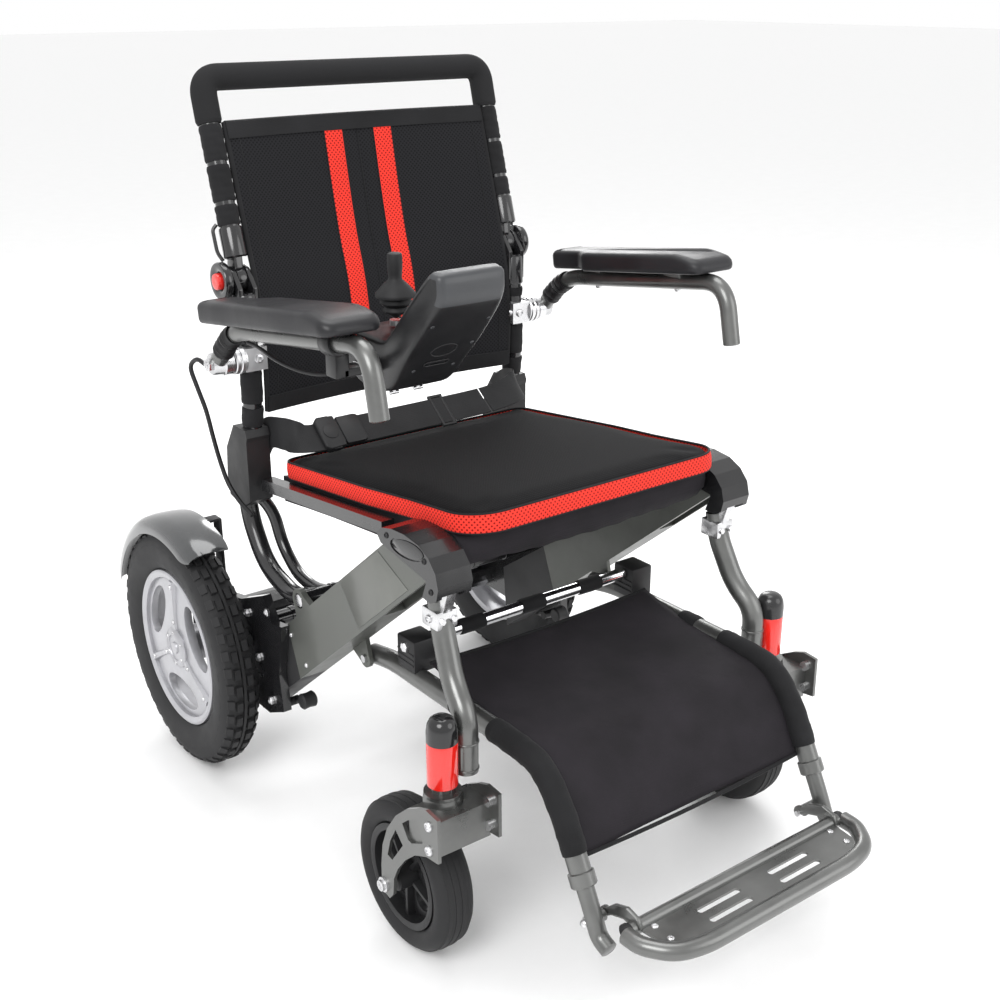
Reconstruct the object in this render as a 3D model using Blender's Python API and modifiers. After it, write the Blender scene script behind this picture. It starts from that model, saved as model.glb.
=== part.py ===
"""Folding power wheelchair.

Metres. +Z is up, -Y is the way the rider faces, +X is the rider's left.
The origin is on the floor under the middle of the chair.
"""
import math

import bmesh
import bpy
from mathutils import Matrix, Vector

GAP = 0.0003                    # clearance between pieces that touch
MIDDLE_Y = 0.0155               # moves the built chair so that its middle is over the origin

# Rear wheels and drive
REAR_AXLE = (0.332, 0.174)      # y, z, like every pair of coordinates below
REAR_RADIUS = 0.174
REAR_RIM = 0.114
REAR_TRACK = 0.281              # x of the wheel's middle plane
REAR_WIDTH = 0.055
PLATE_IN, PLATE_OUT = 0.2353, 0.2470

# Side beams, which hold the batteries
BEAM_IN, BEAM_OUT = 0.195, 0.235
BEAM_REAR_TOP = (0.116, 0.276)
BEAM_FRONT_TOP = (-0.129, 0.473)
BEAM_FRONT_LOW = (-0.2153, 0.458)
BEAM_REAR_LOW = (0.089, 0.207)

# Pivots, as y, z
LEG_PIVOT = (-0.219, 0.453)
BACK_PIVOT = (0.082, 0.322)
SEAT_PIVOT = (0.2018, 0.440)
LEGREST_PIVOT = (-0.020, 0.272)
HINGE_PIVOT = (0.236, 0.708)
ARM_PIVOT = (0.208, 0.612)
PLATE_PIVOT = (-0.430, 0.1215)

# Front casters
STEM_X, STEM_Y = 0.2583, -0.271
CASTER_AXLE = (-0.211, 0.093)   # y, z
CASTER_RADIUS = 0.093
CASTER_WIDTH = 0.049

# Frame tubes
BACK_X = 0.2135
BACK_TUBE = 0.0125
LEG_TUBE = 0.0135
LEGREST_X = 0.182
LEGREST_TUBE = 0.0125
ARM_X = 0.262
ARM_TUBE = 0.011
SEAT_SLOPE = math.radians(6.6)
PAD_SLOPE = math.radians(7.8)
ARM_RUN = Vector((0, 0.9902, -0.1397))   # along the level stretch of an arm tube

# Joystick controller, on the rider's right
STICK = Vector((-0.168, -0.063, 0.703))

BLACK = (0.012, 0.012, 0.013)
GUNMETAL = (0.20, 0.205, 0.195)
SILVER = (0.72, 0.72, 0.73)
RED = (0.80, 0.03, 0.02)

for old in list(bpy.data.objects):
    bpy.data.objects.remove(old)


def new_collection(name):
    made = bpy.data.collections.new(name)
    bpy.context.scene.collection.children.link(made)
    return made


PARTS = new_collection("power_wheelchair")
CUTTERS = new_collection("cutters")


# ---------------------------------------------------------------- helpers

def keep(name, data, group=PARTS):
    made = bpy.data.objects.new(name, data)
    group.objects.link(made)
    return made


def paint(piece, colour, roughness, metallic=0.0):
    """Give a piece a material of its own and shade its round faces smooth."""
    finish = bpy.data.materials.new(piece.name)
    finish.use_nodes = True
    shader = finish.node_tree.nodes["Principled BSDF"]
    shader.inputs["Base Color"].default_value = (*colour, 1.0)
    shader.inputs["Roughness"].default_value = roughness
    shader.inputs["Metallic"].default_value = metallic
    piece.data.materials.clear()
    piece.data.materials.append(finish)
    if piece.type == "MESH":
        piece.data.shade_smooth()
        piece.data.set_sharp_from_angle(angle=math.radians(35))
    return piece


def facing(start, end):
    """A matrix at the middle of start-end whose Z axis points to end."""
    start, end = Vector(start), Vector(end)
    turn = (end - start).to_track_quat("Z", "Y").to_matrix().to_4x4()
    return Matrix.Translation((start + end) / 2) @ turn


def cylinder(name, start, end, radius, sides=20, tip=None):
    """A closed cylinder or cone from start to end."""
    data = bpy.data.meshes.new(name)
    shape = bmesh.new()
    length = (Vector(end) - Vector(start)).length
    bmesh.ops.create_cone(shape, cap_ends=True, segments=sides, radius1=radius,
                          radius2=radius if tip is None else tip, depth=length)
    shape.to_mesh(data)
    shape.free()
    made = keep(name, data)
    made.matrix_world = facing(start, end)
    return made


def across(name, side, x_in, x_out, at, radius, sides=20):
    """A cylinder along X on one side of the chair, at (y, z)."""
    return cylinder(name, (side * x_in, *at), (side * x_out, *at), radius, sides)


def block(name, low, high, side=1):
    """A box between two corners; side -1 mirrors it to the rider's right."""
    data = bpy.data.meshes.new(name)
    shape = bmesh.new()
    bmesh.ops.create_cube(shape, size=1.0)
    low, high = Vector(low), Vector(high)
    for vertex in shape.verts:
        for axis in range(3):
            vertex.co[axis] *= high[axis] - low[axis]
    shape.to_mesh(data)
    shape.free()
    made = keep(name, data)
    middle = (low + high) / 2
    made.location = (side * middle.x, middle.y, middle.z)
    return made


def welded(piece, name=None):
    """The piece as a mesh with its caps joined, ready for a Boolean."""
    if piece.type == "MESH":
        return piece
    bpy.context.view_layer.update()
    shown = piece.evaluated_get(bpy.context.evaluated_depsgraph_get())
    data = bpy.data.meshes.new_from_object(shown)
    shape = bmesh.new()
    shape.from_mesh(data)
    bmesh.ops.remove_doubles(shape, verts=shape.verts, dist=0.00001)
    bmesh.ops.recalc_face_normals(shape, faces=shape.faces)
    shape.to_mesh(data)
    shape.free()
    name = name or piece.name
    place = piece.matrix_world.copy()
    bpy.data.objects.remove(piece)
    made = keep(name, data)
    made.matrix_world = place
    return made


def flat(name, points, holes=()):
    """A 2D outline with holes, in its own XY plane."""
    data = bpy.data.curves.new(name, "CURVE")
    data.dimensions = "2D"
    data.fill_mode = "BOTH"
    for loop in (points, *holes):
        line = data.splines.new("POLY")
        line.points.add(len(loop) - 1)
        for point, (u, v) in zip(line.points, loop):
            point.co = (u, v, 0, 1)
        line.use_cyclic_u = True
    return keep(name, data)


def side_plate(name, side, x_in, x_out, points, holes=()):
    """An outline of (y, z) points made a plate between two x positions."""
    made = flat(name, points, holes)
    made.data.extrude = (x_out - x_in) / 2
    made.matrix_world = Matrix(((0, 0, 1, side * (x_in + x_out) / 2),
                                (1, 0, 0, 0), (0, 1, 0, 0), (0, 0, 0, 1)))
    return welded(made)


def level_plate(name, z_low, z_high, points, holes=()):
    """An outline of (x, y) points made a level plate."""
    made = flat(name, points, holes)
    made.data.extrude = (z_high - z_low) / 2
    made.location.z = (z_low + z_high) / 2
    return welded(made)


def tube(name, points, radius, round_steps=2):
    """A round tube through points, with closed ends."""
    data = bpy.data.curves.new(name, "CURVE")
    data.dimensions = "3D"
    data.bevel_depth = radius
    data.bevel_resolution = round_steps
    data.use_fill_caps = True
    line = data.splines.new("POLY")
    line.points.add(len(points) - 1)
    for point, place in zip(line.points, points):
        point.co = (*place, 1)
    return keep(name, data)


def turned(name, profile, middle, toward, steps=32, ring=False):
    """A profile of (radius, height) points turned about the axis toward."""
    data = bpy.data.meshes.new(name)
    edges = [(i, i + 1) for i in range(len(profile) - 1)]
    if ring:
        edges.append((len(profile) - 1, 0))
    data.from_pydata([(r, 0, h) for r, h in profile], edges, [])
    made = keep(name, data)
    screw = made.modifiers.new("Screw", "SCREW")
    screw.steps = screw.render_steps = steps
    screw.use_merge_vertices = True
    screw.merge_threshold = 0.00001
    turn = Vector(toward).to_track_quat("Z", "Y").to_matrix().to_4x4()
    made.matrix_world = Matrix.Translation(middle) @ turn
    return made


def hide_tool(tool):
    for group in list(tool.users_collection):
        group.objects.unlink(tool)
    CUTTERS.objects.link(tool)
    tool.hide_render = True
    tool.display_type = "WIRE"


def combine(piece, tool, operation):
    piece, tool = welded(piece), welded(tool)
    change = piece.modifiers.new(tool.name, "BOOLEAN")
    change.operation = operation
    change.solver = "EXACT"
    change.object = tool
    hide_tool(tool)
    return piece


def cut(piece, *tools):
    for tool in tools:
        piece = combine(piece, tool, "DIFFERENCE")
    return piece


def join(piece, *tools):
    for tool in tools:
        piece = combine(piece, tool, "UNION")
    return piece


def arc(middle, radius, start, end, count):
    """Points on an arc, angles in degrees."""
    angles = [start + (end - start) * i / (count - 1) for i in range(count)]
    return [(middle[0] + radius * math.cos(math.radians(a)),
             middle[1] + radius * math.sin(math.radians(a))) for a in angles]


def ellipse(middle, long, short, tilt, count=12):
    """Points on a tilted ellipse, in one plane."""
    turn = math.radians(tilt)
    found = []
    for i in range(count):
        angle = math.tau * i / count
        u, v = long * math.cos(angle), short * math.sin(angle)
        found.append((middle[0] + u * math.cos(turn) - v * math.sin(turn),
                      middle[1] + u * math.sin(turn) + v * math.cos(turn)))
    return found


def smooth_path(corners, radius, steps=3):
    """A route through corners, each corner rounded by a curve of about this radius."""
    corners = [Vector(c) for c in corners]
    route = [corners[0]]
    for before, corner, after in zip(corners, corners[1:], corners[2:]):
        reach = min(radius, (corner - before).length * 0.48, (after - corner).length * 0.48)
        start = corner + (before - corner).normalized() * reach
        end = corner + (after - corner).normalized() * reach
        for i in range(steps + 1):
            t = i / steps
            route.append(start * (1 - t) ** 2 + corner * 2 * t * (1 - t) + end * t * t)
    route.append(corners[-1])
    return route


def spline_path(route, spacing):
    """Points along a Catmull-Rom curve through the route."""
    route = [Vector(p) for p in route]
    route = [route[0] * 2 - route[1], *route, route[-1] * 2 - route[-2]]
    found = []
    for a, b, c, d in zip(route, route[1:], route[2:], route[3:]):
        count = max(1, round((c - b).length / spacing))
        for i in range(count):
            t = i / count
            found.append(0.5 * (2 * b + (c - a) * t + (2 * a - 5 * b + 4 * c - d) * t * t
                                + (3 * b - a - 3 * c + d) * t ** 3))
    found.append(route[-2])
    return found


def suffix(side):
    return "R" if side < 0 else "L"


# ---------------------------------------------------------------- beams

BEAM_AXIS = (Vector(BEAM_FRONT_LOW) - Vector(BEAM_REAR_LOW)).normalized()
BEAM_UP = Vector((-BEAM_AXIS.y, BEAM_AXIS.x)) * -1
BEAM_UP = BEAM_UP if BEAM_UP.y > 0 else -BEAM_UP


def on_beam(along, up):
    """A (y, z) point from the distance up the beam and above its lower face."""
    point = Vector(BEAM_REAR_LOW) + BEAM_AXIS * along + BEAM_UP * up
    return (point.x, point.y)


def make_beam(side):
    tag = suffix(side)
    beam = side_plate("beam_" + tag, side, BEAM_IN, BEAM_OUT,
                      [BEAM_REAR_TOP, BEAM_FRONT_TOP, BEAM_FRONT_LOW, BEAM_REAR_LOW])
    bay = side_plate("beam_bay_" + tag, side, 0.200, 0.230,
                     [on_beam(-0.05, 0.006), on_beam(-0.05, 0.060),
                      on_beam(0.20, 0.060), on_beam(0.20, 0.006)])
    slot = side_plate("beam_slot_" + tag, side, 0.2012, 0.2308,
                      [on_beam(0.268, -0.02), on_beam(0.268, 0.020),
                       on_beam(0.300, 0.033), on_beam(0.46, 0.033), on_beam(0.46, -0.02)])
    back_lug = side_plate("back_lug_" + tag, side, 0.2268, 0.2345,
                          [on_beam(0.052, 0.063)] + [on_beam(0.0786 - u, 0.0843 + v) for u, v in
                                                     arc((0, 0), 0.016, 0, 180, 9)]
                          + [on_beam(0.107, 0.063)])
    back_bore = across("back_lug_bore_" + tag, side, 0.22, 0.24, BACK_PIVOT, 0.0104)
    rest_lug = side_plate("legrest_lug_" + tag, side, 0.1953, 0.2010,
                          [on_beam(0.148, 0.004)] + [on_beam(0.1255 + u, -0.0193 + v) for u, v in
                                                     arc((0, 0), 0.012, 360, 180, 9)]
                          + [on_beam(0.103, 0.004)])
    rest_bore = across("legrest_lug_bore_" + tag, side, 0.19, 0.21, LEGREST_PIVOT, 0.0053, 16)
    beam = join(cut(beam, bay, slot), back_lug, rest_lug)
    return paint(cut(beam, back_bore, rest_bore), GUNMETAL, 0.38, 0.8)


def make_battery(side):
    """The pack in the beam's bay and the black end that it is pulled out by."""
    tag = suffix(side)
    shift = BEAM_AXIS * -0.0005
    end = side_plate("battery_" + tag, side, BEAM_IN, BEAM_OUT,
                     [(BEAM_REAR_LOW[0] + shift.x, BEAM_REAR_LOW[1] + shift.y),
                      (BEAM_REAR_TOP[0] + shift.x, BEAM_REAR_TOP[1] + shift.y),
                      (0.214, 0.208), (0.205, 0.111)])
    pack = side_plate("battery_pack_" + tag, side, 0.2006, 0.2294,
                      [on_beam(-0.04, 0.007), on_beam(-0.04, 0.059),
                       on_beam(0.19, 0.059), on_beam(0.19, 0.007)])
    return paint(join(end, pack), BLACK, 0.45)


def make_pivot_cover(side):
    tag = suffix(side)
    rim = [(-0.1275, 0.4742), (-0.1190, 0.4840), (-0.1300, 0.4930), (-0.1500, 0.4980),
           (-0.1750, 0.4995), (-0.2030, 0.4960), (-0.2220, 0.4870), (-0.2350, 0.4730),
           (-0.2395, 0.4560), (-0.2360, 0.4420), (-0.2240, 0.4350), (-0.2090, 0.4370),
           (-0.2165, 0.4560), (-0.2165, 0.4592)]
    cover = side_plate("pivot_cover_" + tag, side, 0.1925, 0.2385, rim)
    slot = side_plate("cover_slot_" + tag, side, 0.2005, 0.2315,
                      arc(LEG_PIVOT, 0.0178, 0, 180, 10) + [(-0.2368, 0.42), (-0.19, 0.42)])
    oval = side_plate("cover_oval_" + tag, side, 0.2370, 0.2400,
                      ellipse((-0.181, 0.4835), 0.034, 0.0115, -6, 20))
    return paint(cut(cover, slot, oval), BLACK, 0.22)


def make_drive_unit(side):
    """Bolted side plate with the wheel's motor and gearbox on its inner face."""
    tag = suffix(side)
    plate = side_plate("drive_unit_" + tag, side, PLATE_IN, PLATE_OUT,
                       [(0.110, 0.277), (0.136, 0.272), (0.157, 0.305), (0.223, 0.276),
                        (0.290, 0.262), (0.330, 0.262), (0.345, 0.240), (0.392, 0.205),
                        (0.392, 0.160), (0.350, 0.133), (0.250, 0.128), (0.160, 0.128),
                        (0.118, 0.148), (0.125, 0.200)])
    motor = across("motor_" + tag, side, 0.125, 0.2400, REAR_AXLE, 0.046, 24)
    bore = across("motor_bore_" + tag, side, 0.222, 0.26, REAR_AXLE, 0.0100)
    return paint(cut(join(plate, motor), bore), (0.05, 0.05, 0.052), 0.4, 0.6)


def make_fender(side):
    """Mudguard over the wheel's top, with a lip over the tyre's outer shoulder and a stay."""
    tag = suffix(side)
    crest = arc(REAR_AXLE, 0.1935, 15, 117, 18) + arc(REAR_AXLE, 0.1900, 117, 15, 18)
    fender = side_plate("fender_" + tag, side, 0.2480, 0.3105, crest)
    skirt = arc(REAR_AXLE, 0.1925, 16, 116, 18) + arc(REAR_AXLE, 0.1680, 116, 16, 18)
    lip = side_plate("fender_lip_" + tag, side, 0.3092, 0.3118, skirt)
    stay = side_plate("fender_stay_" + tag, side, 0.2285, 0.2350,
                      [(0.303, 0.236), (0.327, 0.236), (0.327, 0.3660), (0.303, 0.3660)])
    foot = block("fender_foot_" + tag, (0.2300, 0.305, 0.3610), (0.2520, 0.325, 0.3650), side)
    return paint(join(fender, lip, stay, foot), (0.09, 0.09, 0.095), 0.2, 0.6)


# ---------------------------------------------------------------- wheels

def make_rear_wheel(side):
    tag = suffix(side)
    middle = (side * REAR_TRACK, *REAR_AXLE)
    outward = (side, 0, 0)
    half = REAR_WIDTH / 2
    tread = [(REAR_RADIUS, 0.010), (REAR_RADIUS, -0.010), (0.1680, -0.022), (0.1510, -half),
             (0.1300, -0.0245), (REAR_RIM + GAP, -0.019), (REAR_RIM + GAP, 0.019),
             (0.1300, 0.0245), (0.1510, half), (0.1680, 0.022)]
    tyre = turned("rear_tyre_" + tag, tread, middle, outward, 32, ring=True)
    paint(tyre, BLACK, 0.8)
    barrel = [(REAR_RIM, 0.022), (REAR_RIM, -0.022), (0.103, -0.022), (0.103, 0.022)]
    rim = turned("rear_rim_" + tag, barrel, middle, outward, 32, ring=True)
    ovals = [ellipse((REAR_AXLE[0] + 0.066 * math.cos(math.radians(a)),
                      REAR_AXLE[1] + 0.066 * math.sin(math.radians(a))), 0.045, 0.021, a + 90, 12)
             for a in (30, 150, 270)]
    disc = side_plate("rear_disc_" + tag, side, 0.286, 0.297,
                      arc(REAR_AXLE, 0.1055, 0, 348.75, 32), ovals)
    hub = across("rear_hub_" + tag, side, 0.2560, 0.3040, REAR_AXLE, 0.028, 24)
    shaft = across("rear_shaft_" + tag, side, 0.2240, 0.2600, REAR_AXLE, 0.0097)
    return tyre, paint(join(rim, disc, hub, shaft), SILVER, 0.4, 0.7)


def make_caster_wheel(side):
    tag = suffix(side)
    middle = (side * STEM_X, *CASTER_AXLE)
    outward = (side, 0, 0)
    half = CASTER_WIDTH / 2
    tread = [(CASTER_RADIUS, 0.009), (CASTER_RADIUS, -0.009), (0.087, -0.020), (0.077, -half),
             (0.0645 + GAP, -0.020), (0.0645 + GAP, 0.020), (0.077, half), (0.087, 0.020)]
    tyre = turned("caster_tyre_" + tag, tread, middle, outward, 24, ring=True)
    paint(tyre, BLACK, 0.8)
    barrel = [(0.0645, 0.021), (0.0645, -0.021), (0.055, -0.021), (0.055, 0.021)]
    rim = turned("caster_rim_" + tag, barrel, middle, outward, 24, ring=True)
    gaps = [ellipse((CASTER_AXLE[0] + 0.034 * math.cos(math.radians(a)),
                     CASTER_AXLE[1] + 0.034 * math.sin(math.radians(a))), 0.014, 0.012, a, 6)
            for a in range(18, 360, 72)]
    disc = side_plate("caster_disc_" + tag, side, STEM_X - 0.005, STEM_X + 0.005,
                      arc(CASTER_AXLE, 0.0565, 0, 345, 24), gaps)
    hub = across("caster_hub_" + tag, side, STEM_X - 0.030, STEM_X + 0.030, CASTER_AXLE, 0.014, 16)
    bore = across("caster_bore_" + tag, side, 0.20, 0.32, CASTER_AXLE, 0.0044, 16)
    return tyre, paint(cut(join(rim, disc, hub), bore), BLACK, 0.5)


def make_caster_fork(side):
    tag = suffix(side)
    top = (side * STEM_X, STEM_Y)
    head = block("caster_fork_" + tag, (STEM_X - 0.0390, -0.306, 0.178),
                 (STEM_X + 0.0390, -0.262, 0.222), side)
    crown = cylinder("fork_crown_" + tag, (*top, 0.200), (*top, 0.2345), 0.0215, 24)
    collar = cylinder("fork_collar_" + tag, (*top, 0.232), (*top, 0.2412), 0.0125)
    stem = cylinder("fork_stem_" + tag, (*top, 0.230), (*top, 0.284), 0.0060, 16)
    outside = [(-0.3215, 0.238), (-0.300, 0.240), (-0.284, 0.234), (-0.263, 0.222),
               (-0.240, 0.201), (-0.221, 0.174), (-0.210, 0.146), (-0.206, 0.117),
               (-0.206, 0.094), (-0.211, 0.082), (-0.222, 0.080), (-0.230, 0.090),
               (-0.232, 0.112), (-0.241, 0.131), (-0.257, 0.152), (-0.277, 0.170),
               (-0.300, 0.181), (-0.322, 0.184)]
    windows = [[(-0.239, 0.182), (-0.253, 0.169), (-0.230, 0.137), (-0.2205, 0.139),
                (-0.227, 0.161)],
               [(-0.253, 0.198), (-0.264, 0.208), (-0.284, 0.219), (-0.293, 0.194),
                (-0.271, 0.182), (-0.264, 0.183)]]
    outer = side_plate("fork_outer_" + tag, side, 0.2965, 0.3008, outside, windows)
    inner = side_plate("fork_inner_" + tag, side, 0.2158, 0.2201, outside, windows)
    axle = across("caster_axle_" + tag, side, 0.2135, 0.3030, CASTER_AXLE, 0.0040, 16)
    return paint(join(head, crown, collar, stem, outer, inner, axle), GUNMETAL, 0.45, 0.8)


# ---------------------------------------------------------------- front legs

def make_leg(side):
    tag = suffix(side)
    route = smooth_path([(side * x, y, z) for x, y, z in (
        (0.2155, -0.207, 0.428), (0.2155, -0.213, 0.396), (0.2210, -0.240, 0.340),
        (0.2265, -0.2715, 0.312), (0.2265, -0.2715, 0.247))], 0.020)
    leg = tube("front_leg_" + tag, route, LEG_TUBE)
    knuckle = side_plate("leg_knuckle_" + tag, side, 0.2085, 0.2225,
                         arc(LEG_PIVOT, 0.016, -10, 190, 10) + [(-0.2205, 0.408), (-0.197, 0.408)])
    clamp = block("leg_clamp_" + tag, (0.2020, -0.224, 0.398), (0.2300, -0.194, 0.420), side)
    weld = block("leg_weld_" + tag, (0.2265, -0.280, 0.252), (0.2404, -0.263, 0.284), side)
    return paint(join(leg, knuckle, clamp, weld), GUNMETAL, 0.38, 0.8)


def make_caster_housing(side):
    tag = suffix(side)
    profile = [(0, 0.326), (0.009, 0.3245), (0.0145, 0.318), (0.0168, 0.308), (0.0168, 0.297),
               (0.0175, 0.2955), (0.0175, 0.2418), (0.0066, 0.2418), (0.0066, 0.2880), (0, 0.2880)]
    return paint(turned("caster_housing_" + tag, profile, (side * STEM_X, STEM_Y, 0),
                        (0, 0, 1), 16), RED, 0.25)


# ---------------------------------------------------------------- seat

def seat_line(y, above):
    """Height of a line parallel to the seat, above the cushion's lower face."""
    return 0.4511 + math.tan(SEAT_SLOPE) * (0.200 - y) + above


def make_seat_rail(side):
    return paint(side_plate("seat_rail_" + suffix(side), side, 0.1990, 0.2165,
                            [(0.200, seat_line(0.200, -0.002)), (-0.095, seat_line(-0.095, -0.002)),
                             (-0.095, seat_line(-0.095, -0.018)), (0.200, seat_line(0.200, -0.018))]),
                 BLACK, 0.4)


def make_seat_base():
    return paint(side_plate("seat_base", 1, -0.190, 0.190,
                            [(0.185, seat_line(0.185, -0.001)), (-0.206, seat_line(-0.206, -0.001)),
                             (-0.212, seat_line(-0.206, -0.018)), (-0.206, seat_line(-0.206, -0.040)),
                             (-0.185, seat_line(-0.185, -0.045)), (0.185, seat_line(0.185, -0.040))]),
                 BLACK, 0.9)


def make_cushion():
    corner = 0.045
    front, rear, half = -0.2082, 0.2080, 0.1915
    plan = (arc((half - corner, front + corner), corner, 0, -90, 6)
            + arc((-half + corner, front + corner), corner, -90, -180, 6)
            + arc((-half + 0.02, rear - 0.02), 0.02, 180, 90, 3)
            + arc((half - 0.02, rear - 0.02), 0.02, 90, 0, 3))
    made = level_plate("seat_cushion", 0.0, 0.0265, plan)
    middle = made.location.z
    tilt = Matrix.Rotation(-SEAT_SLOPE, 4, "X")
    made.matrix_world = (Matrix.Translation((0, -0.033, seat_line(-0.033, 0.0005))) @ tilt
                         @ Matrix.Translation((0, 0, middle)))
    return paint(made, BLACK, 0.9)


# ---------------------------------------------------------------- back

def back_route(side):
    return smooth_path([(side * BACK_X, y, z) for y, z in (
        (0.2190, 0.694), (0.2150, 0.600), (0.2170, 0.520), (0.2500, 0.440), (0.2480, 0.385),
        (0.2080, 0.322), (0.1300, 0.303), BACK_PIVOT)], 0.035)


def make_back_tube(side):
    tag = suffix(side)
    main = tube("back_tube_" + tag, back_route(side), BACK_TUBE)
    link = tube("back_link_" + tag, smooth_path([(side * x, y, z) for x, y, z in (
        (0.2100, 0.2485, 0.425), (0.1900, 0.224, 0.392), (0.1870, 0.208, 0.345),
        (0.1870, 0.170, 0.316), (0.1870, 0.125, 0.311), (0.1870, *BACK_PIVOT))], 0.02), 0.0085)
    collar = cylinder("hinge_collar_" + tag, (side * BACK_X, 0.2172, 0.652),
                      (side * BACK_X, 0.2190, 0.692), 0.0150)
    ears = side_plate("hinge_ears_" + tag, side, 0.1998, 0.2265,
                      [(0.208, 0.660), (0.2300, 0.660)] + arc(HINGE_PIVOT, 0.0175, -50, 150, 12)
                      + [(0.2075, 0.700)])
    slot = across("hinge_slot_" + tag, side, 0.2063, 0.2197, HINGE_PIVOT, 0.0177, 24)
    mouth = side_plate("hinge_mouth_" + tag, side, 0.2063, 0.2197,
                       [(0.2360, 0.690), (0.2360, 0.672), (0.2700, 0.672), (0.2700, 0.720),
                        (0.2400, 0.720)])
    knob = across("hinge_knob_" + tag, side, 0.2255, 0.2400, HINGE_PIVOT, 0.0238, 24)
    pocket = across("hinge_pocket_" + tag, side, 0.2310, 0.2500, HINGE_PIVOT, 0.0110, 20)
    pivot = across("back_pivot_cut_" + tag, side, 0.17, 0.25, BACK_PIVOT, 0.0103, 20)
    made = cut(join(main, link, collar, ears), slot, mouth)
    return paint(cut(join(made, knob), pocket, pivot), BLACK, 0.25)


def make_hinge_button(side):
    return paint(across("hinge_button_" + suffix(side), side, 0.2352, 0.2445, HINGE_PIVOT, 0.0106),
                 RED, 0.3)


def make_back_pivot_tube():
    return paint(cylinder("back_pivot_tube", (-0.2340, *BACK_PIVOT), (0.2340, *BACK_PIVOT), 0.0100),
                 GUNMETAL, 0.4, 0.8)


def make_back_joint(side):
    """Moulded joint where the back tube meets the seat rail."""
    tag = suffix(side)
    body = side_plate("back_joint_" + tag, side, 0.1975, 0.2310,
                      [(0.2072, 0.418), (0.2072, 0.500), (0.2050, 0.506), (0.2090, 0.516),
                       (0.2420, 0.516), (0.2660, 0.480), (0.2700, 0.440), (0.2660, 0.412),
                       (0.2300, 0.404)])
    bore = tube("joint_bore_" + tag, back_route(side)[:-6], BACK_TUBE + 0.0004)
    relief = cylinder("joint_relief_" + tag, (side * 0.2100, 0.2485, 0.4250),
                      (side * 0.1900, 0.2240, 0.3920), 0.0105, 16)
    return paint(cut(body, bore, relief), BLACK, 0.35)


def make_arm_clamp(side):
    tag = suffix(side)
    body = block("arm_clamp_" + tag, (0.1985, 0.1960, 0.5970), (0.2285, 0.2340, 0.6270), side)
    drum = across("arm_drum_" + tag, side, 0.2275, 0.2440, ARM_PIVOT, 0.0170, 24)
    bore = tube("clamp_bore_" + tag, back_route(side), BACK_TUBE + 0.0004)
    return paint(cut(join(body, drum), bore), SILVER, 0.3, 0.9)


def make_handle():
    """Upper back tubes and push bar in one bent tube, with the hinge tongues."""
    side_run = [(BACK_X, 0.2345, 0.736), (BACK_X, 0.2420, 0.760), (BACK_X, 0.2850, 0.9020),
                (BACK_X, 0.2975, 0.9490)]
    right = [(-x, y, z) for x, y, z in side_run]
    route = smooth_path(right + side_run[::-1], 0.042, 4)
    handle = tube("handle_tube", route, BACK_TUBE)
    for side in (-1, 1):
        tag = suffix(side)
        tongue = side_plate("hinge_tongue_" + tag, side, 0.2069, 0.2191,
                            arc(HINGE_PIVOT, 0.0170, 115, 385, 14)
                            + [(0.2470, 0.742), (0.2300, 0.742)])
        collar = cylinder("handle_collar_" + tag, (side * BACK_X, 0.2343, 0.7350),
                          (side * BACK_X, 0.2455, 0.7720), 0.0150)
        handle = join(handle, tongue, collar)
    return paint(handle, BLACK, 0.25)


def make_foam():
    side_run = [(BACK_X, 0.2828, 0.8944), (BACK_X, 0.2850, 0.9020), (BACK_X, 0.2975, 0.9490)]
    right = [(-x, y, z) for x, y, z in side_run]
    grip = tube("handle_foam", smooth_path(right + side_run[::-1], 0.042, 4), 0.0165)
    side_run[0] = (BACK_X, 0.2420, 0.760)
    right = [(-x, y, z) for x, y, z in side_run]
    bore = tube("foam_bore", smooth_path(right + side_run[::-1], 0.042, 4), BACK_TUBE + 0.0006)
    return paint(cut(grip, bore), BLACK, 0.95)


def make_back_panels():
    lower = side_plate("back_panel_lower", 1, -0.1965, 0.1965,
                       [(0.2080, 0.535), (0.2040, 0.610), (0.2140, 0.702),
                        (0.2270, 0.700), (0.2180, 0.610), (0.2210, 0.535)])
    upper = side_plate("back_panel_upper", 1, -0.1965, 0.1965,
                       [(0.2160, 0.7075), (0.2220, 0.7400), (0.2720, 0.8970),
                        (0.2840, 0.8932), (0.2350, 0.7360), (0.2290, 0.7045)])
    return paint(lower, BLACK, 0.9), paint(upper, BLACK, 0.9)


# ---------------------------------------------------------------- arms

def make_arm(side):
    tag = suffix(side)
    route = smooth_path([(side * ARM_X, y, z) for y, z in (
        (0.2080, 0.6120), (0.1560, 0.6650), (-0.1560, 0.7090), (-0.1720, 0.6330))], 0.045)
    arm = tube("arm_tube_" + tag, route, ARM_TUBE)
    eye = across("arm_eye_" + tag, side, 0.2445, 0.2720, ARM_PIVOT, 0.0165, 20)
    return paint(join(arm, eye), GUNMETAL, 0.38, 0.8)


def make_arm_pad(side):
    """Forearm pad, notched at its inner rear corner to pass the back hinge's knob."""
    tag = suffix(side)
    corner = 0.020
    front, rear, x_in, x_out = -0.135, 0.173, 0.2285, 0.3025
    notch = 0.2475
    plan = (arc((x_out - corner, front + corner), corner, 0, -90, 5)
            + arc((x_in + corner, front + corner), corner, -90, -180, 5)
            + [(x_in, 0.085), (notch, 0.112), (notch, rear)]
            + arc((x_out - corner, rear - corner), corner, 90, 0, 4))
    made = level_plate("arm_pad_" + tag, 0.0, 0.0270, [(side * x, y) for x, y in plan])
    made.matrix_world = (Matrix.Translation((0, 0.007, 0.7256)) @ Matrix.Rotation(-PAD_SLOPE, 4, "X")
                         @ Matrix.Translation((0, -0.007, -0.0135)))
    return paint(made, BLACK, 0.5)


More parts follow.
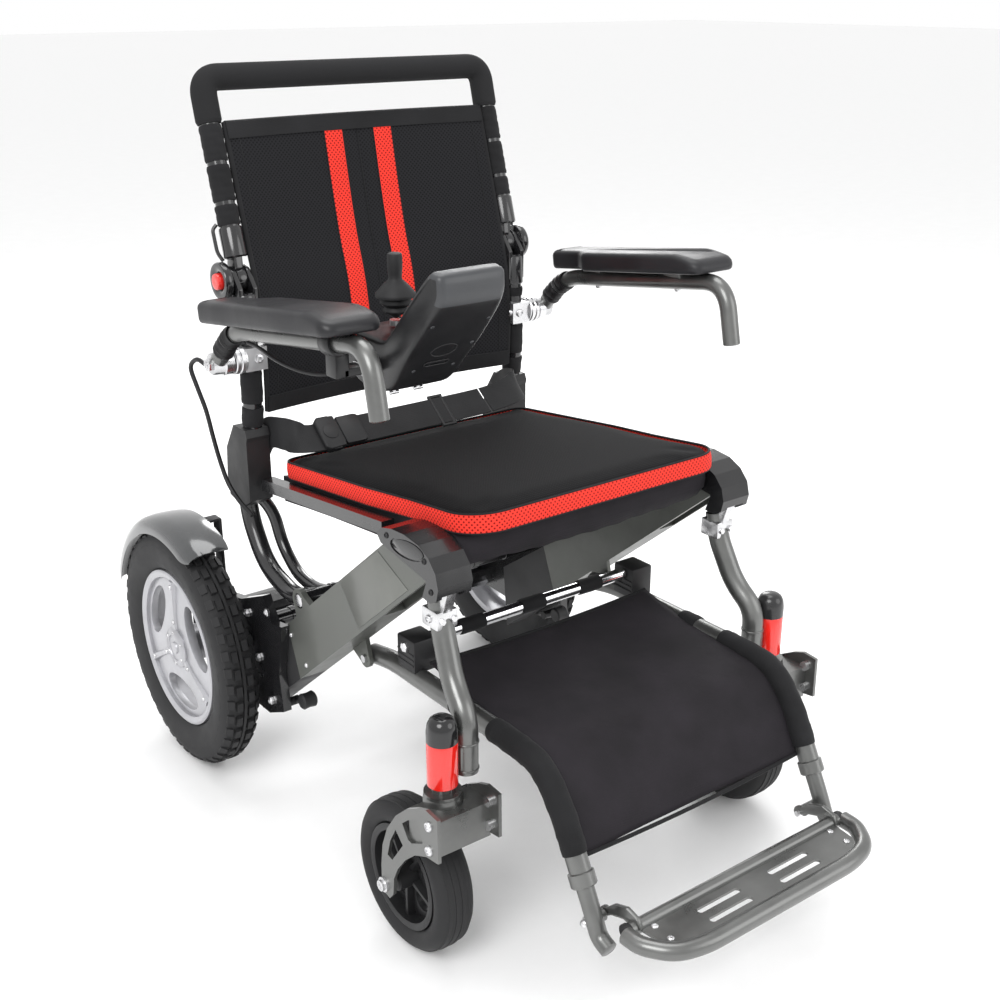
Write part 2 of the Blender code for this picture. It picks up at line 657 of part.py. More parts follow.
# ---------------------------------------------------------------- controller

def make_controller():
    profile = [(-0.020, 0.655), (-0.017, 0.690), (-0.030, 0.6970), (-0.104, 0.6970),
               (-0.118, 0.7080), (-0.190, 0.7830), (-0.206, 0.7850), (-0.2120, 0.7720),
               (-0.2070, 0.7480), (-0.1400, 0.6720), (-0.1080, 0.6400), (-0.070, 0.6330),
               (-0.035, 0.6400)]
    shell = side_plate("controller_shell", -1, 0.1215, 0.2145, profile)
    plan = (arc((STICK.x, STICK.y), 0.0468, 0, 180, 16)
            + arc((STICK.x - 0.0265, -0.1980), 0.020, 180, 270, 4)
            + arc((STICK.x + 0.0265, -0.1980), 0.020, 270, 360, 4))
    shell = combine(shell, level_plate("controller_plan", 0.60, 0.82, plan), "INTERSECT")
    along = ARM_RUN
    middle = Vector((-ARM_X, -0.085, 0.6990))
    ring = cylinder("bracket_ring", middle - along * 0.011, middle + along * 0.011, 0.0152, 20)
    top = block("bracket_top", (-0.290, -0.110, 0.7075), (-0.230, -0.060, 0.7300))
    bar = block("bracket_bar", (-0.258, -0.096, 0.6600), (-0.190, -0.074, 0.6700))
    post = block("bracket_post", (-0.268, -0.096, 0.6600), (-0.250, -0.074, 0.6880))
    bore = cylinder("bracket_bore", middle - along * 0.02, middle + along * 0.02,
                    ARM_TUBE + 0.0005, 20)
    face = Vector((0, 0.721, 0.693))
    key_at = Vector((STICK.x, -0.155, 0.7465))
    pocket = cylinder("key_pocket", key_at - face * 0.006, key_at + face * 0.01, 0.0066, 16)
    shell = join(shell, bar, post, ring)
    paint(cut(shell, bore, top, pocket), BLACK, 0.35)
    key = cylinder("power_key", key_at - face * 0.0040, key_at + face * 0.0015, 0.0062, 16)
    paint(key, SILVER, 0.4)
    gimbal = cylinder("joystick_gimbal", STICK + Vector((0, 0, -0.0030)),
                      STICK + Vector((0, 0, 0.0030)), 0.0075, 16)
    paint(gimbal, SILVER, 0.4, 0.8)
    profile = [(0, 0.0780), (0.0070, 0.0780), (0.0085, 0.0760), (0.0080, 0.0560), (0.0062, 0.0500),
               (0.0230, 0.0330), (0.0232, 0.0295), (0.0165, 0.0280), (0.0185, 0.0230),
               (0.0130, 0.0180), (0.0150, 0.0130), (0.0060, 0.0080), (0.0035, 0.0052), (0, 0.0052)]
    stick = turned("joystick", profile, STICK, (0, 0, 1), 16)
    return shell, key, gimbal, paint(stick, BLACK, 0.6)


# ---------------------------------------------------------------- legrest

def make_legrest():
    """Both side tubes, the cross bar over them and its two latch blocks."""
    legrest = None
    for side in (-1, 1):
        tag = suffix(side)
        route = smooth_path([(side * LEGREST_X, y, z) for y, z in (
            (-0.012, 0.2700), (-0.058, 0.2790), (-0.300, 0.2790), (-0.348, 0.2760),
            (-0.383, 0.2380), (-0.4225, 0.1640))], 0.028)
        leg = tube("legrest_tube_" + tag, route, LEGREST_TUBE)
        way = Vector((0, -0.0395, -0.0740)).normalized()
        end = Vector((side * LEGREST_X, -0.4225, 0.1640))
        bore = cylinder("legrest_bore_" + tag, end - way * 0.062, end + way * 0.01, 0.0105, 20)
        latch = block("legrest_latch_" + tag, (0.1500, -0.1210, 0.2850), (0.1930, -0.0790, 0.3330),
                      side)
        pin = across("legrest_pin_" + tag, side, 0.1750, 0.2030, LEGREST_PIVOT, 0.0050, 16)
        leg = join(cut(leg, bore), latch, pin)
        legrest = leg if legrest is None else legrest
        if legrest is not leg:
            bar = cylinder("cross_bar", (-0.155, -0.100, 0.320), (0.155, -0.100, 0.320), 0.0080)
            legrest = join(legrest, bar, leg)
    legrest.name = "legrest_frame"
    return paint(legrest, GUNMETAL, 0.38, 0.8)


def make_calf_sheet():
    top = [(-0.126, 0.3010), (-0.200, 0.2860), (-0.290, 0.2800), (-0.340, 0.2720),
           (-0.372, 0.2440), (-0.392, 0.2080), (-0.404, 0.1850)]
    low = [(y + 0.0020 if z > 0.27 else y + 0.0045, z - 0.0050 if z > 0.25 else z - 0.0030)
           for y, z in top]
    return paint(side_plate("calf_sheet", 1, -0.1660, 0.1660, top + low[::-1]), BLACK, 0.95)


def make_lower_leg(side):
    tag = suffix(side)
    leg = tube("lower_leg_" + tag, smooth_path([(side * LEGREST_X, y, z) for y, z in (
        (-0.3966, 0.2125), (-0.4365, 0.1378), (-0.4480, 0.1130), (-0.4640, 0.1070))], 0.016), 0.0100)
    lug = across("footplate_lug_" + tag, side, 0.1600, 0.1820, PLATE_PIVOT, 0.0070, 16)
    pin = across("footplate_pin_" + tag, side, 0.1490, 0.1620, PLATE_PIVOT, 0.0035, 12)
    return paint(join(leg, lug, pin), GUNMETAL, 0.38, 0.8)


def make_footplate():
    half = [(0.173, -0.480), (0.1725, -0.500), (0.152, -0.530), (0.115, -0.540)]
    loop = tube("footplate", smooth_path(
        [(-x, y, 0.131) for x, y in half] + [(x, y, 0.131) for x, y in half[::-1]], 0.012, 2), 0.0100)
    rear = cylinder("footplate_rear", (-0.166, -0.4760, 0.1315), (0.166, -0.4760, 0.1315), 0.0080)
    slots = [[(x + u, y + v) for u, v in ((-0.032, -0.004), (0.032, -0.004),
                                         (0.032, 0.004), (-0.032, 0.004))]
             for x in (-0.055, 0.055) for y in (-0.5170, -0.4985)]
    panel = level_plate("footplate_panel", 0.1295, 0.1325,
                        [(-0.155, -0.480), (-0.150, -0.522), (-0.125, -0.536),
                         (0.125, -0.536), (0.150, -0.522), (0.155, -0.480)], slots)
    footplate = join(loop, rear, panel)
    for side in (-1, 1):
        tag = suffix(side)
        arm = side_plate("footplate_arm_" + tag, side, 0.1530, 0.1590,
                         arc(PLATE_PIVOT, 0.0085, -60, 100, 6)[::-1]
                         + [(-0.4400, 0.1250), (-0.4600, 0.1320), (-0.4750, 0.1280),
                            (-0.4860, 0.1340), (-0.4800, 0.1440), (-0.4620, 0.1480),
                            (-0.4430, 0.1410)][::1])
        bore = across("footplate_bore_" + tag, side, 0.145, 0.165, PLATE_PIVOT, 0.0038, 12)
        footplate = join(footplate, cut(arm, bore))
    return paint(footplate, GUNMETAL, 0.38, 0.8)


# ---------------------------------------------------------------- levers, belt, cable

def make_freewheel_lever(side):
    tag = suffix(side)
    pivot = across("freewheel_lever_" + tag, side, 0.2140, 0.2350, (0.138, 0.148), 0.0060, 16)
    arm = cylinder("lever_arm_" + tag, (side * 0.2180, 0.138, 0.148), (side * 0.2180, 0.108, 0.161),
                   0.0040, 12)
    knob = cylinder("lever_knob_" + tag, (side * 0.2080, 0.104, 0.163),
                    (side * 0.2280, 0.104, 0.163), 0.0110, 16)
    return paint(join(pivot, arm, knob), BLACK, 0.4)


def make_belt():
    over = [(-0.1940, 0.5180), (-0.1700, 0.5090), (-0.0900, 0.5080), (0.0400, 0.5085),
            (0.1300, 0.5110), (0.1940, 0.5230)]
    under = [(x, z - 0.0030) for x, z in over]
    made = flat("belt_strap", over + under[::-1])
    made.data.extrude = 0.0210
    made.matrix_world = Matrix(((1, 0, 0, 0), (0, 0, -1, 0.150), (0, 1, 0, 0), (0, 0, 0, 1)))
    strap = paint(welded(made), BLACK, 0.8)
    buckle = block("belt_buckle", (-0.1560, 0.1240, 0.5095), (-0.0900, 0.1760, 0.5240))
    return strap, paint(buckle, BLACK, 0.4)


def make_cable():
    """Controller cable from behind the right armrest down to the frame."""
    route = [(-0.2620, 0.2420, 0.6020), (-0.2650, 0.2620, 0.6060), (-0.2670, 0.2790, 0.5920),
             (-0.2640, 0.2700, 0.5660), (-0.2590, 0.2600, 0.5360), (-0.2540, 0.2560, 0.5000),
             (-0.2490, 0.2520, 0.4680), (-0.2450, 0.2400, 0.4380), (-0.2410, 0.2180, 0.4180),
             (-0.2380, 0.1900, 0.4060)]
    return paint(tube("controller_cable", spline_path(route, 0.012), 0.0030), BLACK, 0.5)


# ---------------------------------------------------------------- assembly

def mount_on(name, place, *pieces):
    """Parent pieces to an empty that stands on their joint's axis."""
    empty = bpy.data.objects.new(name, None)
    PARTS.objects.link(empty)
    empty.location = place
    bpy.context.view_layer.update()
    for piece in pieces:
        piece.parent = empty
        piece.matrix_parent_inverse = empty.matrix_world.inverted()
    return empty


mount_on("back_fold", (0, *BACK_PIVOT), make_back_pivot_tube())
lower_panel, upper_panel = make_back_panels()
mount_on("back_lower_axis", (0, *BACK_PIVOT), lower_panel, make_cable())
mount_on("back_upper_axis", (0, *HINGE_PIVOT), make_handle(), make_foam(), upper_panel)
mount_on("seat_axis", (0, *SEAT_PIVOT), make_seat_base(), make_cushion(), *make_belt())
mount_on("legrest_axis", (0, *LEGREST_PIVOT), make_legrest(), make_calf_sheet())
mount_on("footplate_axis", (0, *PLATE_PIVOT), make_footplate())
controller, power_key, joystick_gimbal, joystick = make_controller()
mount_on("controller_axis", (-ARM_X, -0.085, 0.6932), controller, power_key)
mount_on("joystick_axis", STICK, joystick_gimbal, joystick)
cylinder("rear_cross_tube", (-0.2350, 0.1990, 0.2430), (0.2350, 0.1990, 0.2430), 0.0110)
paint(bpy.data.objects["rear_cross_tube"], BLACK, 0.35)

for chair_side in (-1, 1):
    name_tag = suffix(chair_side)
    make_beam(chair_side)
    make_pivot_cover(chair_side)
    make_drive_unit(chair_side)
    make_fender(chair_side)
    mount_on("battery_slide_" + name_tag, (chair_side * 0.215, *BEAM_REAR_LOW),
             make_battery(chair_side))
    mount_on("lever_axis_" + name_tag, (chair_side * 0.225, 0.138, 0.148),
             make_freewheel_lever(chair_side))
    mount_on("rear_axle_" + name_tag, (chair_side * REAR_TRACK, *REAR_AXLE),
             *make_rear_wheel(chair_side))
    mount_on("leg_axis_" + name_tag, (chair_side * 0.2155, *LEG_PIVOT),
             make_leg(chair_side), make_caster_housing(chair_side))
    mount_on("caster_stem_" + name_tag, (chair_side * STEM_X, STEM_Y, 0.236),
             make_caster_fork(chair_side))
    mount_on("caster_axle_line_" + name_tag, (chair_side * STEM_X, *CASTER_AXLE),
             *make_caster_wheel(chair_side))
    mount_on("rail_axis_" + name_tag, (chair_side * 0.208, *SEAT_PIVOT), make_seat_rail(chair_side))
    mount_on("back_axis_" + name_tag, (chair_side * BACK_X, *BACK_PIVOT),
             make_back_tube(chair_side), make_back_joint(chair_side), make_arm_clamp(chair_side))
    mount_on("button_slide_" + name_tag, (chair_side * 0.240, *HINGE_PIVOT),
             make_hinge_button(chair_side))
    mount_on("arm_axis_" + name_tag, (chair_side * ARM_X, *ARM_PIVOT),
             make_arm(chair_side), make_arm_pad(chair_side))
    mount_on("lower_leg_slide_" + name_tag, (chair_side * LEGREST_X, -0.4225, 0.1640),
             make_lower_leg(chair_side))

chair = bpy.data.objects.new("chair", None)
PARTS.objects.link(chair)
for piece in [o for o in bpy.data.objects if o.parent is None and o is not chair]:
    piece.parent = chair
chair.location = (0, MIDDLE_Y, 0)
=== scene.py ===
"""Looks of the folding power wheelchair, built round its CAD frame. Metres, +Z up, rider faces -Y."""
import math

import bmesh
import bpy
from mathutils import Matrix, Vector


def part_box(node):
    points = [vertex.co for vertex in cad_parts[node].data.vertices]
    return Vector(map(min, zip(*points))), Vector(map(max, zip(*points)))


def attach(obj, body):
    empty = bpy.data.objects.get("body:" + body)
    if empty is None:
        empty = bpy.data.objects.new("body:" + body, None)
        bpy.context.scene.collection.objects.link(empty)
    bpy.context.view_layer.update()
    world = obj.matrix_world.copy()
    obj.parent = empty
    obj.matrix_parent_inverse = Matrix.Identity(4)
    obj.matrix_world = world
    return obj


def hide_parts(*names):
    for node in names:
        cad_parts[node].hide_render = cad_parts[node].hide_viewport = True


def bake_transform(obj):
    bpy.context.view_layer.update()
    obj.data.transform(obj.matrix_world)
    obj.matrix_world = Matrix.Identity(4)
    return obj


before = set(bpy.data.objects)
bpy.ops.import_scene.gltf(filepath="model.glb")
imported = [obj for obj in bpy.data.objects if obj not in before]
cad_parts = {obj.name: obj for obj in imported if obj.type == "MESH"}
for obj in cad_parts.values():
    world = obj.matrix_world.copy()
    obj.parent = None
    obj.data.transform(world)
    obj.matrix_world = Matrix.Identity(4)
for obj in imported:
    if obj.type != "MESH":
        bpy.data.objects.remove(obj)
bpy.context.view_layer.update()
rim_low, rim_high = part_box("rear_rim_R")
SHIFT = Vector((0, (rim_low.y + rim_high.y) / 2 - 0.332, 0))   # from the axle-based layout to the frame's origin

# ---------------------------------------------------------------- camera, floor, lights

camera = bpy.data.objects.new("camera", bpy.data.cameras.new("camera"))
bpy.context.scene.collection.objects.link(camera)
camera.data.sensor_width = 36
camera.data.lens = 48.476
camera.location = Vector((-0.9715, -1.3148, 1.0586)) + SHIFT
camera.rotation_euler = (math.radians(90 - 21.012), 0, math.radians(-37.182))
bpy.context.scene.camera = camera


def lamp(name, place, target, size, power):
    light = bpy.data.lights.new(name, "AREA")
    light.shape = "DISK"
    light.size = size
    light.energy = power
    made = bpy.data.objects.new(name, light)
    bpy.context.scene.collection.objects.link(made)
    made.location = place
    made.rotation_euler = (Vector(target) - Vector(place)).to_track_quat("-Z", "Y").to_euler()


lamp("key", (-2.2, -1.4, 2.6), (0, 0, 0.4), 1.8, 58)
lamp("fill", (1.6, -2.6, 1.6), (0, 0, 0.4), 2.2, 24)
lamp("top", (0.3, 0.6, 3.2), (0, 0, 0.4), 2.0, 36)
lamp("rim", (1.8, 2.2, 1.7), (0, 0, 0.5), 1.4, 30)
bpy.context.scene.view_settings.view_transform = "Standard"
world = bpy.data.worlds.new("studio")
bpy.context.scene.world = world
world.use_nodes = True
world.node_tree.nodes["Background"].inputs["Color"].default_value = (1.0, 1.0, 1.0, 1)
world.node_tree.nodes["Background"].inputs["Strength"].default_value = 1.0


# ---------------------------------------------------------------- materials

def new_material(name, colour, rough, metal=0.0, coat=0.0, sheen=0.0, gloss=0.5):
    made = bpy.data.materials.new(name)
    made.use_nodes = True
    shader = made.node_tree.nodes["Principled BSDF"]
    shader.inputs["Base Color"].default_value = (*colour, 1)
    shader.inputs["Roughness"].default_value = rough
    shader.inputs["Metallic"].default_value = metal
    shader.inputs["Coat Weight"].default_value = coat
    shader.inputs["Coat Roughness"].default_value = 0.08
    shader.inputs["Specular IOR Level"].default_value = gloss
    if sheen:
        shader.inputs["Sheen Weight"].default_value = sheen
        shader.inputs["Sheen Roughness"].default_value = 0.5
    return made, made.node_tree, shader


def node(tree, kind, **values):
    made = tree.nodes.new(kind)
    for name, value in values.items():
        if name in made.inputs:
            made.inputs[name].default_value = value
        else:
            setattr(made, name, value)
    return made


def ramp(tree, source, low, high, colour_low, colour_high):
    made = tree.nodes.new("ShaderNodeValToRGB")
    made.color_ramp.elements[0].position = low
    made.color_ramp.elements[0].color = (*colour_low, 1)
    made.color_ramp.elements[1].position = high
    made.color_ramp.elements[1].color = (*colour_high, 1)
    tree.links.new(source, made.inputs["Fac"])
    return made


def bump(tree, shader, height, strength, distance, below=None):
    made = node(tree, "ShaderNodeBump", Strength=strength, Distance=distance)
    tree.links.new(height, made.inputs["Height"])
    if below is not None:
        tree.links.new(below.outputs["Normal"], made.inputs["Normal"])
    tree.links.new(made.outputs["Normal"], shader.inputs["Normal"])
    return made


def surface(name, colour, rough, metal=0.0, coat=0.0, grain=900.0, depth=0.00006, strength=0.25,
            vary=0.18, rough_vary=0.08, sheen=0.0, gloss=0.5):
    """A painted, moulded or machined surface: fine grain, slow colour change, handled patches."""
    made, tree, shader = new_material(name, colour, rough, metal, coat, sheen, gloss)
    where = node(tree, "ShaderNodeTexCoord").outputs["Object"]
    fine = node(tree, "ShaderNodeTexNoise", Scale=grain, Detail=3.0)
    slow = node(tree, "ShaderNodeTexNoise", Scale=14.0, Detail=5.0, Roughness=0.6)
    tree.links.new(where, fine.inputs["Vector"])
    tree.links.new(where, slow.inputs["Vector"])
    tint = ramp(tree, slow.outputs["Fac"], 0.30, 0.72, [c * (1 - vary) for c in colour],
                [min(1, c * (1 + vary)) for c in colour])
    tree.links.new(tint.outputs["Color"], shader.inputs["Base Color"])
    spread = node(tree, "ShaderNodeMapRange")
    spread.inputs["From Min"].default_value = 0.35
    spread.inputs["From Max"].default_value = 0.65
    spread.inputs["To Min"].default_value = max(0.03, rough - rough_vary)
    spread.inputs["To Max"].default_value = min(1.0, rough + rough_vary)
    tree.links.new(slow.outputs["Fac"], spread.inputs["Value"])
    tree.links.new(spread.outputs["Result"], shader.inputs["Roughness"])
    bump(tree, shader, fine.outputs["Fac"], strength, depth)
    return made


def spacer_mesh(name, colour, hole, pitch, strength=0.6):
    """Knitted spacer mesh: a lattice of small holes, laid out in the cloth's own plane, the holes painted darker as
    painted shade.
    """
    made, tree, shader = new_material(name, colour, 0.80, sheen=0.03, gloss=0.15)
    where = node(tree, "ShaderNodeTexCoord").outputs["UV"]
    turn = node(tree, "ShaderNodeMapping")
    turn.inputs["Rotation"].default_value = (0, 0, math.radians(45))
    turn.inputs["Scale"].default_value = (1 / pitch, 1 / pitch, 1)
    tree.links.new(where, turn.inputs["Vector"])
    cells = node(tree, "ShaderNodeTexVoronoi", Scale=1.0, Randomness=0.0, voronoi_dimensions="2D")
    tree.links.new(turn.outputs["Vector"], cells.inputs["Vector"])
    # painted shade: the hole colour darkens the cell centres, standing in for the shade inside the holes
    tint = ramp(tree, cells.outputs["Distance"], 0.17, 0.36, hole, colour)
    tree.links.new(tint.outputs["Color"], shader.inputs["Base Color"])
    bump(tree, shader, cells.outputs["Distance"], strength, 0.0006)
    return made


def ribbed_mesh(name, colour, pitch):
    """Fine ribbed knit over a cushion, ribs running front to rear, with painted shade in the grooves and painted
    highlight on the crests.
    """
    made, tree, shader = new_material(name, colour, 0.90, sheen=0.02, gloss=0.12)
    where = node(tree, "ShaderNodeTexCoord").outputs["UV"]
    ribs = node(tree, "ShaderNodeTexWave", Scale=0.314 / pitch, Distortion=0.4, bands_direction="X")
    ribs.inputs["Detail Scale"].default_value = 2.0
    rows = node(tree, "ShaderNodeTexWave", Scale=0.314 / (pitch * 1.4), bands_direction="Y")
    for wave in (ribs, rows):
        tree.links.new(where, wave.inputs["Vector"])
    both = node(tree, "ShaderNodeMath", operation="MULTIPLY")
    tree.links.new(ribs.outputs["Fac"], both.inputs[0])
    tree.links.new(rows.outputs["Fac"], both.inputs[1])
    # painted shade and painted highlight: colour follows the rib relief, half as bright in the grooves, nearly twice
    # as bright on the crests
    tint = ramp(tree, both.outputs["Value"], 0.05, 0.8, [c * 0.5 for c in colour],
                [c * 1.9 for c in colour])
    tree.links.new(tint.outputs["Color"], shader.inputs["Base Color"])
    bump(tree, shader, both.outputs["Value"], 0.5, 0.0004)
    return made


def woven(name, colour, pitch, crease=0.35, sheen=0.03, rough=0.8):
    """Plain woven cloth with soft creases, painted darker in their hollows and lighter on their folds."""
    made, tree, shader = new_material(name, colour, rough, sheen=sheen, gloss=0.25)
    where = node(tree, "ShaderNodeTexCoord").outputs["Object"]
    waves = [node(tree, "ShaderNodeTexWave", Scale=0.314 / pitch, bands_direction=d) for d in "XY"]
    soft = node(tree, "ShaderNodeTexNoise", Scale=16.0, Detail=4.0)
    for one in (*waves, soft):
        tree.links.new(where, one.inputs["Vector"])
    both = node(tree, "ShaderNodeMath", operation="MULTIPLY")
    tree.links.new(waves[0].outputs["Fac"], both.inputs[0])
    tree.links.new(waves[1].outputs["Fac"], both.inputs[1])
    # painted shade and painted light: the colour follows the crease noise, darker in the crease hollows, lighter on
    # the raised folds
    tint = ramp(tree, soft.outputs["Fac"], 0.3, 0.7, [c * 0.75 for c in colour], [c * 1.35 for c in colour])
    tree.links.new(tint.outputs["Color"], shader.inputs["Base Color"])
    first = bump(tree, shader, soft.outputs["Fac"], crease, 0.004)
    bump(tree, shader, both.outputs["Value"], 0.3, 0.0003, first)
    return made


GUN = surface("gunmetal_paint", (0.150, 0.152, 0.148), 0.34, metal=0.80, coat=0.3, grain=2600)
BEAM = surface("beam_paint", (0.105, 0.110, 0.100), 0.45, metal=0.45, coat=0.15, grain=2600)
PANEL = surface("beam_panel", (0.150, 0.155, 0.142), 0.42, metal=0.45, coat=0.15, grain=2600)
BLACK_TUBE = surface("black_paint", (0.010, 0.010, 0.011), 0.22, coat=0.5, grain=1500, strength=0.12)
GLOSS = surface("black_gloss_plastic", (0.012, 0.012, 0.013), 0.22, coat=0.35, grain=700, strength=0.15,
                gloss=0.4)
PLASTIC = surface("black_moulded_plastic", (0.015, 0.015, 0.016), 0.48, grain=1800, strength=0.5, gloss=0.35)
SHELL = surface("controller_plastic", (0.013, 0.013, 0.014), 0.36, grain=2200, strength=0.5, gloss=0.4)
HOOD = surface("controller_hood", (0.040, 0.042, 0.046), 0.42, grain=2200, strength=0.5)
SILVER = surface("machined_aluminium", (0.66, 0.66, 0.67), 0.28, metal=0.95, grain=1400, strength=0.2)
WHEEL = surface("wheel_silver", (0.42, 0.42, 0.44), 0.40, metal=0.55, coat=0.15, grain=1800, strength=0.3)
CHROME = surface("chrome", (0.80, 0.80, 0.82), 0.10, metal=1.0, grain=600, strength=0.05, rough_vary=0.04)
RED = surface("red_gloss", (0.74, 0.016, 0.010), 0.16, coat=0.8, grain=900, strength=0.08)
TYRE = surface("tyre_rubber", (0.015, 0.015, 0.016), 0.66, grain=700, strength=0.7, depth=0.0002, gloss=0.35)
FOAM = surface("grip_foam", (0.017, 0.017, 0.018), 0.90, grain=1100, strength=0.9, depth=0.0003, gloss=0.2)
SKIN = surface("pad_skin", (0.014, 0.014, 0.016), 0.46, grain=1500, strength=0.8, depth=0.0001, coat=0.05,
               gloss=0.35)
BOOT = surface("joystick_rubber", (0.014, 0.014, 0.015), 0.55, grain=1600, strength=0.4, gloss=0.3)
FENDER = surface("fender_gloss", (0.060, 0.062, 0.064), 0.16, metal=0.3, coat=0.8, grain=1200, strength=0.08)
JACKET = surface("cable_jacket", (0.010, 0.010, 0.011), 0.42, grain=900, strength=0.3, gloss=0.35)
# painted shade: the third value of each spacer mesh is the dark colour painted into its holes
MESH = spacer_mesh("black_spacer_mesh", (0.013, 0.013, 0.015), (0.001, 0.001, 0.001), 0.0040)
RED_MESH = spacer_mesh("red_spacer_mesh", (0.80, 0.040, 0.026), (0.16, 0.003, 0.002), 0.0042)
# painted shade in the ribbed mesh's grooves and painted highlight on its crests, scaled from this colour
RIBS = ribbed_mesh("black_ribbed_mesh", (0.0070, 0.0070, 0.0078), 0.0024)
# painted shade in the crease hollows and painted light on the folds of these woven cloths, scaled from each colour
CLOTH = woven("black_cloth", (0.012, 0.010, 0.013), 0.0012)
BAND = woven("black_binding", (0.009, 0.009, 0.010), 0.0010, crease=0.15)
WEB = woven("belt_webbing", (0.012, 0.012, 0.013), 0.0020, crease=0.1, rough=0.6)
FLOOR = surface("floor_paint", (0.93, 0.93, 0.93), 0.55, grain=120, strength=0.05, vary=0.015)

floor_data = bpy.data.meshes.new("floor")
floor_data.from_pydata([(-30, -30, 0), (30, -30, 0), (30, 30, 0), (-30, 30, 0)], [], [(0, 1, 2, 3)])
floor_data.materials.append(FLOOR)
floor = bpy.data.objects.new("floor", floor_data)
bpy.context.scene.collection.objects.link(floor)


# ---------------------------------------------------------------- mesh forms

def frames(path):
    """Points of a path with two directions across it, carried along without twist."""
    path = [Vector(p) for p in path]
    found, across = [], None
    for i, point in enumerate(path):
        along = (path[min(i + 1, len(path) - 1)] - path[max(i - 1, 0)]).normalized()
        if across is None:
            across = along.orthogonal().normalized()
        across = (across - along * across.dot(along)).normalized()
        found.append((point, across, along.cross(across)))
    return found


def skin(bm, loops, material=0, ring=False, caps=True):
    """Quads between loops of equal length, closed with end caps or into a ring."""
    rows = [[bm.verts.new(p) for p in loop] for loop in loops]
    faces = []
    pairs = list(zip(rows, rows[1:])) + ([(rows[-1], rows[0])] if ring else [])
    for a, b in pairs:
        for i in range(len(a)):
            j = (i + 1) % len(a)
            faces.append(bm.faces.new((a[i], a[j], b[j], b[i])))
    if caps and not ring:
        faces.append(bm.faces.new(rows[0][::-1]))
        faces.append(bm.faces.new(rows[-1]))
    for face in faces:
        face.material_index = material
    bmesh.ops.recalc_face_normals(bm, faces=faces)
    return faces


def rod(bm, path, radius, material=0, sides=28, round_ends=0.0):
    """A round bar along a path; radius is a number or one value a point."""
    spots = frames(path)
    radii = [radius] * len(spots) if isinstance(radius, (int, float)) else radius
    loops = []
    for (point, u, v), r in zip(spots, radii):
        loops.append([point + u * (r * math.cos(2 * math.pi * k / sides))
                      + v * (r * math.sin(2 * math.pi * k / sides)) for k in range(sides)])
    if round_ends:
        for end, other in ((0, 1), (-1, -2)):
            outward = (spots[end][0] - spots[other][0]).normalized()
            middle = spots[end][0]
            tip = [middle + (p - middle) * 0.82 + outward * round_ends for p in loops[end]]
            if end == 0:
                loops.insert(0, tip)
            else:
                loops.append(tip)
    return skin(bm, loops, material)


def lathe(bm, centre, direction, profile, material=0, steps=36, ring=False):
    """Turns (radius, distance along direction) points about the line through centre."""
    way = Vector(direction).normalized()
    u = way.orthogonal().normalized()
    v = way.cross(u)
    centre = Vector(centre)
    loops = [[centre + way * h + (u * math.cos(2 * math.pi * k / steps)
                                  + v * math.sin(2 * math.pi * k / steps)) * max(r, 0.0002)
              for k in range(steps)] for r, h in profile]
    return skin(bm, loops, material, ring)


def merge(bm, other, material):
    """Moves another form, with its own edges already rounded, into bm."""
    for face in other.faces:
        face.material_index = material
    bmesh.ops.recalc_face_normals(other, faces=other.faces)
    data = bpy.data.meshes.new("form")
    other.to_mesh(data)
    other.free()
    bm.from_mesh(data)
    bpy.data.meshes.remove(data)


def slab(bm, outline, low, high, axis=0, bevel=0.001, material=0, segments=2):
    """An outline in the plane across one axis, extruded from low to high, its edges rounded."""
    form = bmesh.new()

    def place(a, b, c):
        return {0: (c, a, b), 1: (a, c, b), 2: (a, b, c)}[axis]

    skin(form, [[Vector(place(a, b, c)) for a, b in outline] for c in (low, high)])
    if bevel:
        sharp = [e for e in form.edges if e.calc_face_angle(0) > 0.4]
        bmesh.ops.bevel(form, geom=sharp, offset=bevel, segments=segments, profile=0.5,
                        affect="EDGES", clamp_overlap=True)
    merge(bm, form, material)


def block(bm, low, high, side=1, bevel=0.001, material=0):
    x0, x1 = sorted((low[0] * side, high[0] * side))
    slab(bm, [(x0, low[1]), (x1, low[1]), (x1, high[1]), (x0, high[1])], low[2], high[2], 2, bevel,
         material)


def hexagon(bm, at, way, radius, height, material=0):
    lathe(bm, at, way, [(radius * 0.92, 0), (radius, height * 0.12), (radius, height * 0.8),
                        (radius * 0.86, height)], material, 6)


def bolt(bm, at, way, radius=0.004, height=0.0025, material=0):
    """A domed screw head with a socket ring."""
    lathe(bm, at, way, [(radius, 0), (radius, height * 0.45), (radius * 0.85, height * 0.85),
                        (radius * 0.55, height), (radius * 0.5, height * 0.55),
                        (radius * 0.1, height * 0.5)], material, 16)


def arc(middle, radius, start, end, count):
    angles = [math.radians(start + (end - start) * i / (count - 1)) for i in range(count)]
    return [(middle[0] + radius * math.cos(a), middle[1] + radius * math.sin(a)) for a in angles]


def rounded(corners, radius, steps=8):
    """A route through corners, each rounded."""
    corners = [Vector(c) for c in corners]
    route = [corners[0]]
    for before, corner, after in zip(corners, corners[1:], corners[2:]):
        reach = min(radius, (corner - before).length * 0.48, (after - corner).length * 0.48)
        start = corner + (before - corner).normalized() * reach
        end = corner + (after - corner).normalized() * reach
        route += [start * (1 - t) ** 2 + corner * 2 * t * (1 - t) + end * t * t
                  for t in (i / steps for i in range(steps + 1))]
    return route + [corners[-1]]


